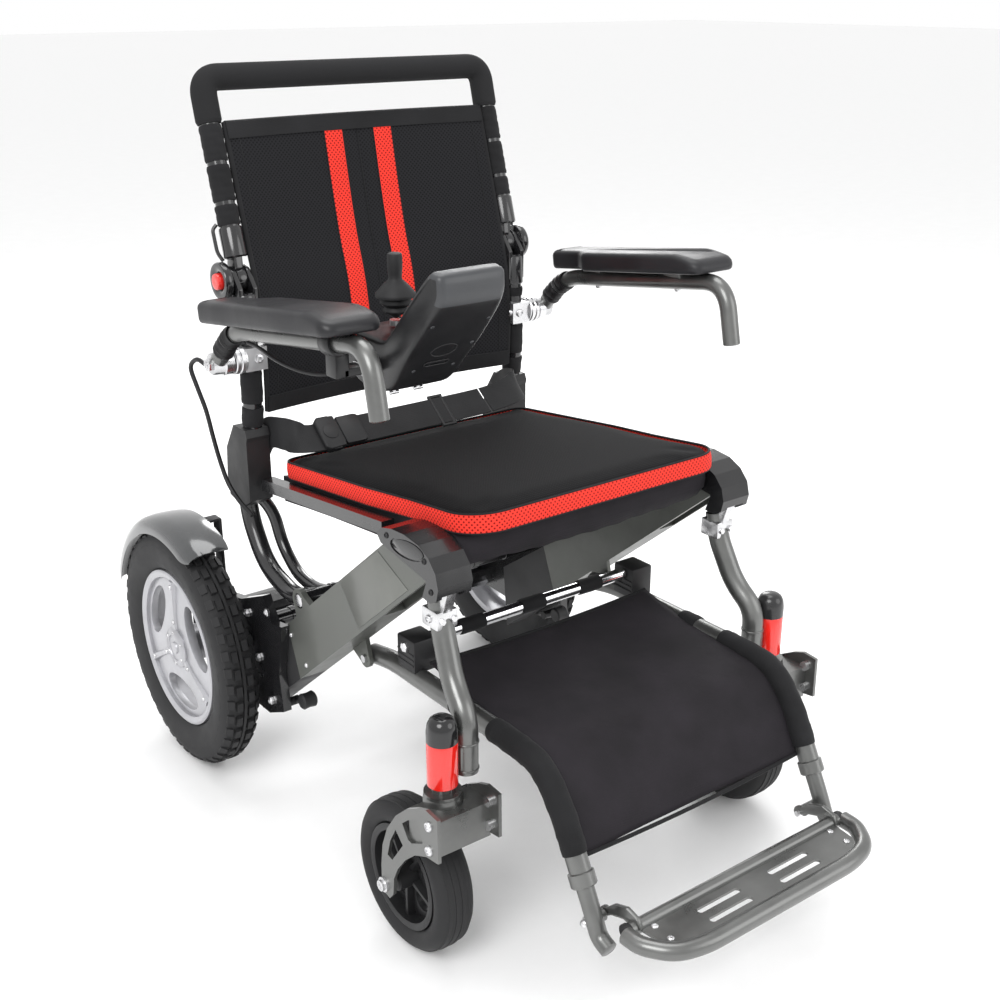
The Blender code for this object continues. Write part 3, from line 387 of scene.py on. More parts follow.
def spline(route, spacing):
    """Points along a Catmull-Rom curve through the route."""
    route = [Vector(p) for p in route]
    route = [route[0] * 2 - route[1], *route, route[-1] * 2 - route[-2]]
    found = []
    for a, b, c, d in zip(route, route[1:], route[2:], route[3:]):
        count = max(1, round((c - b).length / spacing))
        for i in range(count):
            t = i / count
            found.append(0.5 * (2 * b + (c - a) * t + (2 * a - 5 * b + 4 * c - d) * t * t
                                + (3 * b - a - 3 * c + d) * t ** 3))
    return found + [route[-2]]


def stretch(path, start, end):
    """The part of a path between two heights."""
    return [p for p in path if min(start, end) <= p.z <= max(start, end)]


def emit(name, bm, materials, body=None, replaces=(), angle=38, layout=None):
    """Turns a mesh in the chair's layout into a finished piece that rides on a body."""
    data = bpy.data.meshes.new(name)
    bm.to_mesh(data)
    bm.free()
    data.transform(Matrix.Translation(SHIFT))
    for one in materials if isinstance(materials, (list, tuple)) else [materials]:
        data.materials.append(one)
    data.shade_smooth()
    data.set_sharp_from_angle(angle=math.radians(angle))
    made = bpy.data.objects.new(name, data)
    bpy.context.scene.collection.objects.link(made)
    if body:
        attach(made, body)
    if replaces:
        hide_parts(*replaces)
    return made


def dress(name, material, width=0.0010, segments=2):
    """A kept CAD node: its material, and rounded edges."""
    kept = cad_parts[name]
    kept.data.materials.clear()
    kept.data.materials.append(material)
    if width:
        edge = kept.modifiers.new("rounding", "BEVEL")
        edge.limit_method = "ANGLE"
        edge.angle_limit = math.radians(38)
        edge.width = width
        edge.segments = segments
        edge.harden_normals = False


def carve(name, bm, cutters):
    """Cuts closed forms out of a form and returns the result as a new bmesh."""
    objects = []
    for form in (bm, cutters):
        data = bpy.data.meshes.new(name)
        form.to_mesh(data)
        form.free()
        objects.append(bpy.data.objects.new(name, data))
        bpy.context.scene.collection.objects.link(objects[-1])
    tool = objects[0].modifiers.new("cut", "BOOLEAN")
    tool.object = objects[1]
    tool.operation = "DIFFERENCE"
    tool.solver = "EXACT"
    evaluated = objects[0].evaluated_get(bpy.context.evaluated_depsgraph_get())
    result = bmesh.new()
    result.from_mesh(evaluated.to_mesh())
    evaluated.to_mesh_clear()
    for made in objects:
        data = made.data
        bpy.data.objects.remove(made)
        bpy.data.meshes.remove(data)
    return result


def mark_uv(obj, make):
    """A cloth's own plane, in metres, for its weave."""
    layer = obj.data.uv_layers.new(name="cloth")
    for loop in obj.data.loops:
        layer.data[loop.index].uv = make(obj.data.vertices[loop.vertex_index].co)


SIDES = (("R", -1), ("L", 1))
LEGREST_X = 0.182
LEGREST_PIVOT = (-0.020, 0.272)
PLATE_PIVOT = (-0.430, 0.1215)
ARM_RUN = Vector((0, 0.9902, -0.1397))

# ---------------------------------------------------------------- controller cable

CABLE = [(-0.2620, 0.2420, 0.6020), (-0.2650, 0.2620, 0.6060), (-0.2670, 0.2790, 0.5920),
         (-0.2640, 0.2700, 0.5660), (-0.2590, 0.2600, 0.5360), (-0.2540, 0.2560, 0.5000),
         (-0.2490, 0.2520, 0.4680), (-0.2450, 0.2400, 0.4380), (-0.2410, 0.2180, 0.4180),
         (-0.2380, 0.1900, 0.4060)]
line = [p + SHIFT for p in spline(CABLE, 0.006)]
bm = bmesh.new()
rod(bm, [p - SHIFT for p in line], 0.0030, sides=12)
cable = emit("controller_cable_jacket", bm, JACKET, "back_lower", ["controller_cable"])

# ---------------------------------------------------------------- rear wheels

REAR_AXLE = (0.332, 0.174)


def rear_wheel(tag, side):
    middle = Vector((side * 0.281, *REAR_AXLE))
    way = Vector((side, 0, 0))
    bm = bmesh.new()
    lathe(bm, middle, way, [(0.1145, 0.017), (0.119, 0.0215), (0.130, 0.0250), (0.143, 0.0272),
                            (0.151, 0.0273), (0.159, 0.0255), (0.1655, 0.0215), (0.1685, 0.0150),
                            (0.1690, 0.0), (0.1685, -0.0150), (0.1655, -0.0215), (0.159, -0.0255),
                            (0.151, -0.0273), (0.143, -0.0272), (0.130, -0.0250), (0.119, -0.0215),
                            (0.1145, -0.017)], steps=120, ring=True)
    lathe(bm, middle, way, [(0.166, 0.0026), (0.1728, 0.0020), (0.1728, -0.0020), (0.166, -0.0026)],
          steps=120, ring=True)
    for k in range(44):
        turn = Matrix.Translation(middle) @ Matrix.Rotation(2 * math.pi * k / 44, 4, "X")
        for across in (-1, 1):
            half_step = Matrix.Rotation(math.pi / 44 if across > 0 else 0, 4, "X")
            form = bmesh.new()
            bases = [(0.0045, 0.167), (0.0125, 0.167), (0.0125, 0.1736), (0.0045, 0.1738)]
            skin(form, [[Vector((across * x, t * (0.0070 if z > 0.17 else 0.0082), z))
                         for x, z in bases] for t in (-1, 1)])
            bases = [(0.0150, 0.1640), (0.0225, 0.1600), (0.0238, 0.1655), (0.0160, 0.1712)]
            skin(form, [[Vector((across * x, t * 0.0066 + 0.004, z)) for x, z in bases]
                        for t in (-1, 1)])
            bases = [(0.0225, 0.1560), (0.0262, 0.1480), (0.0276, 0.1500), (0.0246, 0.1600)]
            skin(form, [[Vector((across * x, t * 0.0050 - 0.004, z)) for x, z in bases]
                        for t in (-1, 1)])
            bmesh.ops.transform(form, matrix=turn @ half_step, verts=form.verts)
            merge(bm, form, 0)
    emit("rear_tyre_tread_" + tag, bm, TYRE, "rear_wheel_" + tag, ["rear_tyre_" + tag], 30)

    bm = bmesh.new()
    lathe(bm, middle, way, [(0.1140, 0.021), (0.1140, -0.021), (0.1100, -0.022), (0.1035, -0.021),
                            (0.1030, 0.0), (0.1035, 0.0195), (0.1090, 0.0225), (0.1120, 0.0225)],
          steps=96, ring=True)
    disc, holes = bmesh.new(), bmesh.new()
    lathe(disc, middle, way, [(0.0240, 0.0060), (0.1045, 0.0060), (0.1045, 0.0150), (0.0960, 0.0160),
                              (0.0500, 0.0185), (0.0240, 0.0185)], steps=96, ring=True)
    for a in (30, 150, 270):
        lift = math.radians(a)
        centre = (REAR_AXLE[0] + 0.0715 * math.cos(lift), REAR_AXLE[1] + 0.0715 * math.sin(lift))
        oval = [(centre[0] - 0.048 * math.cos(t) * math.sin(lift) + 0.0225 * math.sin(t) * math.cos(lift),
                 centre[1] + 0.048 * math.cos(t) * math.cos(lift) + 0.0225 * math.sin(t) * math.sin(lift))
                for t in (2 * math.pi * k / 40 for k in range(40))]
        slab(holes, oval, side * 0.281 - 0.05, side * 0.281 + 0.05, 0, 0)
    cut = carve("disc", disc, holes)
    rims = [e for e in cut.edges if e.calc_face_angle(0) > 0.9]
    bmesh.ops.bevel(cut, geom=rims, offset=0.0016, segments=2, profile=0.5, affect="EDGES",
                    clamp_overlap=True)
    merge(bm, cut, 0)
    for a in (90, 210, 330):
        lift = math.radians(a)
        spoke = []
        for r, w in ((0.024, 0.0085), (0.060, 0.0060), (0.1030, 0.0085)):
            spoke.append([Vector((side * (0.281 + h), REAR_AXLE[0] + r * math.cos(lift) - t * math.sin(lift),
                                  REAR_AXLE[1] + r * math.sin(lift) + t * math.cos(lift)))
                          for t, h in ((-w, 0.012), (w, 0.012), (w * 0.5, 0.0215), (-w * 0.5, 0.0215))])
        skin(bm, spoke)
        for r in (0.040, 0.094):
            bolt(bm, (side * 0.3022, REAR_AXLE[0] + r * math.cos(lift), REAR_AXLE[1] + r * math.sin(lift)),
                 way, 0.0034, 0.0022, 1)
    lathe(bm, middle, way, [(0.0300, 0.004), (0.0300, 0.0205), (0.0280, 0.0225), (0.0190, 0.0240),
                            (0.0180, 0.0222), (0.0090, 0.0218), (0.0080, 0.0240), (0.0020, 0.0246)],
          steps=48)
    for a in range(0, 360, 60):
        lift = math.radians(a + 30)
        bolt(bm, (side * 0.3036, REAR_AXLE[0] + 0.0235 * math.cos(lift),
                  REAR_AXLE[1] + 0.0235 * math.sin(lift)), way, 0.0028, 0.0020, 1)
    lathe(bm, middle, way, [(0.0260, -0.0245), (0.0260, 0.006)], steps=48)
    lathe(bm, middle, way, [(0.0097, -0.057), (0.0097, -0.020)], steps=24)
    emit("rear_rim_cast_" + tag, bm, [WHEEL, SILVER], "rear_wheel_" + tag,
         ["rear_rim_" + tag])


# ---------------------------------------------------------------- drive, fender, beam

def fender(tag, side):
    section = [(0.2480, 0.1908), (0.2560, 0.1926), (0.2700, 0.1934), (0.2880, 0.1932), (0.3000, 0.1908),
               (0.3075, 0.1855), (0.3112, 0.1770), (0.3118, 0.1690), (0.3106, 0.1682),
               (0.3096, 0.1765), (0.3056, 0.1838), (0.2985, 0.1885), (0.2880, 0.1908),
               (0.2700, 0.1910), (0.2570, 0.1902), (0.2490, 0.1888)]
    bm = bmesh.new()
    loops = []
    for i in range(61):
        a = 14.5 + 103 * i / 60
        near = min(i, 60 - i)
        pinch = 1 if near > 5 else math.sqrt(1 - ((5 - near) / 5.6) ** 2)
        lift = math.radians(a)
        loop = []
        for x, r in section:
            x_mid, r_mid = 0.2700, 0.1920
            x2 = x_mid + (x - x_mid) * (0.80 + 0.20 * pinch)
            r2 = r if r > 0.1880 else 0.1880 + (r - 0.1880) * pinch
            loop.append(Vector((side * x2, REAR_AXLE[0] + r2 * math.cos(lift),
                                REAR_AXLE[1] + r2 * math.sin(lift))))
        loops.append(loop)
    skin(bm, loops)
    slab(bm, [(0.303, 0.236), (0.327, 0.236), (0.3250, 0.3630), (0.305, 0.3630)],
         *sorted((side * 0.2285, side * 0.2330)), 0, 0.0012, 1)
    block(bm, (0.2300, 0.306, 0.3595), (0.2520, 0.324, 0.3636), side, 0.001, 1)
    for z in (0.246, 0.258):
        bolt(bm, (side * 0.2330, 0.315, z), (side, 0, 0), 0.0042, 0.0030, 2)
    emit("fender_shell_" + tag, bm, [FENDER, PLASTIC, SILVER], "chassis",
         ["fender_" + tag], 50)


def chassis_side(tag, side):
    dress("beam_" + tag, BEAM, 0.0016, 3)
    dress("pivot_cover_" + tag, GLOSS, 0.0022, 3)
    dress("drive_unit_" + tag, BLACK_TUBE, 0.0012)
    dress("battery_" + tag, PLASTIC, 0.0022, 3)
    bm = bmesh.new()
    out = Vector((side, 0, 0))
    for y, z in ((0.145, 0.286), (0.150, 0.152), (0.205, 0.262), (0.212, 0.146), (0.262, 0.248),
                 (0.280, 0.142), (0.180, 0.205)):
        hexagon(bm, (side * 0.2470, y, z), out, 0.0058, 0.0042)
        bolt(bm, (side * 0.2508, y, z), out, 0.0036, 0.0016)
    for y, z in ((-0.140, 0.487), (-0.214, 0.481), (-0.226, 0.449)):
        bolt(bm, (side * 0.2384, y, z), out, 0.0036, 0.0018, 1)
    for y, z in ((0.070, 0.235), (0.107, 0.264)):
        bolt(bm, (side * 0.2350, y, z), out, 0.0034, 0.0018)
    emit("chassis_bolts_" + tag, bm, [SILVER, PLASTIC], "chassis")
    axis, up = Vector((0, -0.7714, 0.6363)), Vector((0, 0.6363, 0.7714))
    low = Vector((0, 0.089, 0.207))
    bm = bmesh.new()
    ends = ((0.232, 0.010), (0.352, 0.006), (0.318, 0.060), (0.240, 0.062))
    outline = [low + axis * a + up * u for a, u in ((0.205, 0.0050), (0.348, 0.0050), (0.318, 0.0640),
                                                    (0.205, 0.0680))]
    slab(bm, [(p.y, p.z) for p in outline], *sorted((side * 0.2346, side * 0.2357)), 0, 0.0004)
    emit("beam_cheek_" + tag, bm, PANEL, "chassis")
    bm = bmesh.new()
    oval = [(-0.181 + 0.0305 * math.cos(t) * 0.9945 + 0.0095 * math.sin(t) * 0.1045,
             0.4835 - 0.0305 * math.cos(t) * 0.1045 + 0.0095 * math.sin(t) * 0.9945)
            for t in (2 * math.pi * k / 36 for k in range(36))]
    slab(bm, oval, *sorted((side * 0.2366, side * 0.2380)), 0, 0.0005)
    emit("cover_oval_" + tag, bm, GLOSS, "chassis")
    bm = bmesh.new()
    lathe(bm, (side * 0.2140, 0.138, 0.148), out, [(0.0060, 0), (0.0060, 0.0195), (0.0050, 0.0208)], steps=24)
    rod(bm, [(side * 0.2180, 0.138, 0.148), (side * 0.2180, 0.122, 0.156), (side * 0.2180, 0.108, 0.161)],
        0.0040, sides=16)
    lathe(bm, (side * 0.2080, 0.104, 0.163), out, [(0.0090, 0), (0.0110, 0.0020), (0.0100, 0.0100),
                                                   (0.0110, 0.0180), (0.0090, 0.0200)], steps=28)
    emit("freewheel_knob_" + tag, bm, PLASTIC, "freewheel_" + tag,
         ["freewheel_lever_" + tag])


# ---------------------------------------------------------------- front legs and casters

def front_leg(tag, side):
    route = rounded([(side * x, y, z) for x, y, z in (
        (0.2155, -0.207, 0.428), (0.2155, -0.213, 0.396), (0.2210, -0.240, 0.340),
        (0.2265, -0.2715, 0.312), (0.2265, -0.2715, 0.247))], 0.020)
    bm = bmesh.new()
    rod(bm, route, 0.0135, sides=36, round_ends=0.0008)
    knuckle = arc((-0.219, 0.453), 0.016, -10, 190, 20) + [(-0.2205, 0.408), (-0.197, 0.408)]
    slab(bm, knuckle, *sorted((side * 0.2085, side * 0.2225)), 0, 0.0015, 1)
    block(bm, (0.2020, -0.224, 0.398), (0.2300, -0.194, 0.420), side, 0.0020, 1)
    for x in (0.2080, 0.2235):
        hexagon(bm, (side * x, -0.224, 0.4090), (0, -1, 0), 0.0042, 0.0036, 1)
    bolt(bm, (side * 0.2300, -0.209, 0.4090), (side, 0, 0), 0.0050, 0.0030, 1)
    block(bm, (0.2265, -0.280, 0.252), (0.2404, -0.263, 0.284), side, 0.0030)
    for z in (0.2515, 0.2845):
        rod(bm, arc_ring((side * 0.2265, -0.2715, z), 0.0134), 0.0012, sides=10)
    emit("front_leg_tube_" + tag, bm, [GUN, SILVER], "leg_" + tag, ["front_leg_" + tag])
    stem = Vector((side * 0.2583, -0.271, 0))
    bm = bmesh.new()
    lathe(bm, stem, (0, 0, 1), [(0.0066, 0.2420), (0.0166, 0.2418), (0.0175, 0.2428), (0.0175, 0.2945),
                                (0.0170, 0.2955), (0.0066, 0.2955)], 0, 48, ring=True)
    lathe(bm, stem, (0, 0, 1), [(0.0070, 0.2957), (0.0176, 0.2957), (0.0176, 0.3085), (0.0170, 0.3125),
                                (0.0162, 0.3170), (0.0135, 0.3222), (0.0095, 0.3250), (0.0045, 0.3260),
                                (0.0004, 0.3262)], 1, 48)
    emit("caster_barrel_" + tag, bm, [RED, GLOSS], "leg_" + tag, ["caster_housing_" + tag])


def arc_ring(centre, radius, count=28):
    """A full turn in the level plane, just short of closing on itself."""
    return [Vector((centre[0] + radius * math.cos(6.283 * k / count),
                    centre[1] + radius * math.sin(6.283 * k / count), centre[2])) for k in range(count + 1)]


def caster(tag, side):
    dress("caster_fork_" + tag, GUN, 0.0013, 3)
    stem = Vector((side * 0.2583, -0.271, 0))
    out = Vector((side, 0, 0))
    bm = bmesh.new()
    lathe(bm, stem, (0, 0, 1), [(0.0225, 0.2080), (0.0225, 0.2240), (0.0215, 0.2300), (0.0190, 0.2335),
                                (0.0135, 0.2347), (0.0100, 0.2347)], 0, 40)
    hexagon(bm, stem + Vector((0, 0, 0.2345)), (0, 0, 1), 0.0128, 0.0066, 1)
    for x, turn in ((0.3008, 1), (0.2158, -1)):
        for y, z in ((-0.306, 0.2230), (-0.306, 0.1925)):
            lathe(bm, (side * (x - turn * 0.0090), y, z), out * turn, [(0.0062, 0), (0.0062, 0.0050)], 1, 20)
            bolt(bm, (side * x, y, z), out * turn, 0.0058, 0.0036, 1)
        lathe(bm, (side * x, -0.211, 0.093), out * turn, [(0.0092, 0), (0.0092, 0.0022), (0.0066, 0.0026),
                                                         (0.0066, 0.0060), (0.0040, 0.0064), (0.0036, 0.0050),
                                                         (0.0004, 0.0048)], 1, 24)
    emit("caster_crown_" + tag, bm, [GUN, SILVER], "caster_" + tag)
    middle = Vector((side * 0.2583, -0.211, 0.093))
    bm = bmesh.new()
    lathe(bm, middle, out, [(0.0650, 0.0170), (0.0690, 0.0215), (0.0760, 0.0243), (0.0820, 0.0238),
                            (0.0868, 0.0205), (0.0905, 0.0150), (0.0922, 0.0080), (0.0925, 0.0),
                            (0.0922, -0.0080), (0.0905, -0.0150), (0.0868, -0.0205), (0.0820, -0.0238),
                            (0.0760, -0.0243), (0.0690, -0.0215), (0.0650, -0.0170)], steps=96, ring=True)
    for x in (-0.0125, -0.0042, 0.0042, 0.0125):
        r = 0.0925 - 0.9 * x * x * 10
        lathe(bm, middle + out * x, out, [(r - 0.002, -0.0028), (r + 0.0007, -0.0022), (r + 0.0007, 0.0022),
                                          (r - 0.002, 0.0028)], steps=96, ring=True)
    emit("caster_tyre_tread_" + tag, bm, TYRE, "caster_wheel_" + tag, ["caster_tyre_" + tag], 30)
    bm = bmesh.new()
    lathe(bm, middle, out, [(0.0645, 0.0205), (0.0645, -0.0205), (0.0600, -0.0215), (0.0560, -0.0200),
                            (0.0550, 0.0), (0.0560, 0.0200), (0.0600, 0.0215)], steps=72, ring=True)
    lathe(bm, middle, out, [(0.0044, -0.0300), (0.0120, -0.0300), (0.0140, -0.0280), (0.0150, -0.0100),
                            (0.0150, 0.0100), (0.0140, 0.0280), (0.0120, 0.0300), (0.0044, 0.0300)],
          steps=40, ring=True)
    disc, holes = bmesh.new(), bmesh.new()
    lathe(disc, middle, out, [(0.0125, -0.0040), (0.0565, -0.0040), (0.0565, 0.0040), (0.0125, 0.0040)],
          steps=72, ring=True)
    for a in range(18, 360, 72):
        lift = math.radians(a)
        centre = (middle.y + 0.0350 * math.cos(lift), middle.z + 0.0350 * math.sin(lift))
        slab(holes, arc(centre, 0.0135, 0, 345, 24), middle.x - 0.02, middle.x + 0.02, 0, 0)
    cut = carve("caster_disc", disc, holes)
    rims = [e for e in cut.edges if e.calc_face_angle(0) > 0.9]
    bmesh.ops.bevel(cut, geom=rims, offset=0.0010, segments=2, profile=0.5, affect="EDGES",
                    clamp_overlap=True)
    merge(bm, cut, 0)
    for a in range(54, 414, 72):
        lift = math.radians(a)
        spoke = []
        for r, w in ((0.012, 0.0055), (0.034, 0.0036), (0.0560, 0.0060)):
            spoke.append([Vector((middle.x + x, middle.y + r * math.cos(lift) - t * math.sin(lift),
                                  middle.z + r * math.sin(lift) + t * math.cos(lift)))
                          for t, x in ((-w * 0.5, -0.0130), (w * 0.5, -0.0130), (w, 0), (w * 0.5, 0.0130),
                                       (-w * 0.5, 0.0130), (-w, 0))])
        skin(bm, spoke)
    emit("caster_rim_moulded_" + tag, bm, PLASTIC, "caster_wheel_" + tag,
         ["caster_rim_" + tag])


# ---------------------------------------------------------------- back frame

def sleeve(bm, path, radius, material=0):
    """A cloth loop round a tube, with a soft hem at each end."""
    radii = [radius * (0.965 if i in (0, len(path) - 1) else 1.0) for i in range(len(path))]
    loops = []
    for i, ((point, u, v), r) in enumerate(zip(frames(path), radii)):
        loop = []
        for k in range(28):
            a = 2 * math.pi * k / 28
            wave = 1 + 0.018 * math.sin(3 * a + i * 0.9) + 0.012 * math.sin(i * 1.7)
            loop.append(point + u * (r * wave * math.cos(a)) + v * (r * wave * math.sin(a)))
        loops.append(loop)
    skin(bm, loops, material)


def back_frame(tag, side):
    route = rounded([(side * 0.2135, y, z) for y, z in (
        (0.2190, 0.694), (0.2150, 0.600), (0.2170, 0.520), (0.2500, 0.440), (0.2480, 0.385),
        (0.2080, 0.322), (0.1300, 0.303), (0.082, 0.322))], 0.035, 10)
    bm = bmesh.new()
    rod(bm, route, 0.0125, sides=32)
    link = rounded([(side * x, y, z) for x, y, z in (
        (0.2100, 0.2485, 0.425), (0.1900, 0.224, 0.392), (0.1870, 0.208, 0.345),
        (0.1870, 0.170, 0.316), (0.1870, 0.125, 0.311), (0.1870, 0.082, 0.322))], 0.02)
    rod(bm, link, 0.0085, sides=24)
    lathe(bm, (side * 0.2135, 0.2172, 0.652), (0, 0.045, 1), [(0.0138, 0), (0.0150, 0.0015), (0.0150, 0.0385),
                                                              (0.0140, 0.0400)], 0, 36)
    ear = [(0.208, 0.660), (0.2300, 0.660)] + arc((0.236, 0.708), 0.0175, -50, 150, 24) + [(0.2075, 0.700)]
    for x0, x1 in ((0.1998, 0.2060), (0.2200, 0.2265)):
        slab(bm, ear, *sorted((side * x0, side * x1)), 0, 0.0012, 0)
    block(bm, (0.2030, 0.2080, 0.662), (0.2240, 0.2300, 0.684), side, 0.002)
    pivot = Vector((0, 0.236, 0.708))
    out = Vector((side, 0, 0))
    lathe(bm, pivot + out * 0.2262, out, [(0.0150, 0), (0.0165, 0.0016), (0.0225, 0.0030), (0.0238, 0.0048),
                                          (0.0238, 0.0115), (0.0225, 0.0134), (0.0180, 0.0138),
                                          (0.0135, 0.0128), (0.0118, 0.0110), (0.0116, 0.0062)], 0, 48)
    lathe(bm, pivot + out * 0.1996, -out, [(0.0110, -0.0004), (0.0105, 0.0030), (0.0070, 0.0036)], 1, 32)
    emit("back_tube_lower_" + tag, bm, [BLACK_TUBE, SILVER], "back_lower",
         ["back_tube_" + tag])
    bm = bmesh.new()
    lathe(bm, pivot + out * 0.2352, out, [(0.0104, 0), (0.0106, 0.0070), (0.0098, 0.0086), (0.0070, 0.0093),
                                          (0.0030, 0.0090), (0.0004, 0.0089)], 0, 40)
    emit("hinge_button_cap_" + tag, bm, RED, "button_" + tag, ["hinge_button_" + tag])
    bm = bmesh.new()
    dense = spline(route, 0.004)
    for z0, z1 in ((0.6330, 0.6500), (0.5500, 0.5935), (0.5200, 0.5470)):
        sleeve(bm, stretch(dense, z0, z1), 0.0142)
    emit("back_loops_lower_" + tag, bm, BAND, "back_lower")
    dress("back_joint_" + tag, PLASTIC, 0.0020, 3)
    dress("arm_clamp_" + tag, SILVER, 0.0016, 3)
    bm = bmesh.new()
    arm = Vector((0, 0.208, 0.612))
    lathe(bm, arm + out * 0.2292, out, [(0.0172, 0), (0.0182, 0.0012), (0.0182, 0.0060), (0.0174, 0.0068)], 0, 40)
    lathe(bm, arm + out * 0.2372, out, [(0.0172, 0), (0.0180, 0.0010), (0.0180, 0.0052), (0.0172, 0.0062)], 0, 40)
    bolt(bm, (side * 0.2100, 0.1960, 0.6120), (0, -1, 0), 0.0058, 0.0036)
    bolt(bm, (side * 0.1985, 0.2040, 0.6120), -out, 0.0050, 0.0030)
    emit("back_fittings_" + tag, bm, SILVER, "back_lower")


def handle():
    points = [(0.2135, 0.2345, 0.736), (0.2135, 0.2420, 0.760), (0.2135, 0.2850, 0.9020),
              (0.2135, 0.2975, 0.9490)]
    route = rounded([(-x, y, z) for x, y, z in points] + points[::-1], 0.042, 14)
    bm = bmesh.new()
    rod(bm, route, 0.0125, sides=32)
    for side in (-1, 1):
        tongue = arc((0.236, 0.708), 0.0170, 115, 385, 28) + [(0.2470, 0.742), (0.2300, 0.742)]
        slab(bm, tongue, *sorted((side * 0.2069, side * 0.2191)), 0, 0.0010)
        start, end = Vector((side * 0.2135, 0.2343, 0.7350)), Vector((side * 0.2135, 0.2455, 0.7720))
        lathe(bm, start, end - start, [(0.0130, 0), (0.0150, 0.0020), (0.0150, 0.0360), (0.0140, 0.0386)], 0, 36)
        rod(bm, rounded([(side * 0.2285, 0.2400, 0.7320), (side * 0.2340, 0.2440, 0.7420),
                         (side * 0.2340, 0.2530, 0.7700), (side * 0.2285, 0.2520, 0.7760)], 0.006), 0.0024, sides=14)
    emit("handle_frame", bm, BLACK_TUBE, "back_upper", ["handle_tube"])
    low = Vector((0.2135, 0.2828, 0.8944))
    grip = [low, Vector((0.2135, 0.2850, 0.9020)), Vector((0.2135, 0.2975, 0.9490))]
    path = rounded([Vector((-p.x, p.y, p.z)) for p in grip] + grip[::-1], 0.042, 16)
    path = spline(path, 0.006)
    radii = [0.0165] * len(path)
    radii[0] = radii[-1] = 0.0148
    bm = bmesh.new()
    rod(bm, path, radii, sides=36)
    emit("handle_grip", bm, FOAM, "back_upper", ["handle_foam"])
    bm = bmesh.new()
    for side in (-1, 1):
        way = [Vector((side * 0.2135, 0.2420 + 0.0430 * t, 0.760 + 0.142 * t)) for t in
               (i / 60 for i in range(61))]
        for z0, z1 in ((0.7735, 0.7985), (0.8020, 0.8460), (0.8495, 0.8930)):
            sleeve(bm, stretch(way, z0, z1), 0.0144)
    emit("back_loops_upper", bm, BAND, "back_upper")


# ---------------------------------------------------------------- back panel

PANEL_LINE = [(0, 0.2075, 0.5370), (0, 0.2052, 0.5700), (0, 0.2050, 0.6200), (0, 0.2105, 0.6750),
              (0, 0.2185, 0.7100), (0, 0.2300, 0.7450), (0, 0.2500, 0.8120), (0, 0.2720, 0.8850),
              (0, 0.2757, 0.8960)]
HALF = 0.1960


def sagging(x, share):
    """How far the slung panel hangs back between its tubes."""
    return 0.026 * (1 - (x / HALF) ** 2) * (0.55 + 0.45 * math.sin(math.pi * min(1, share * 1.05)))


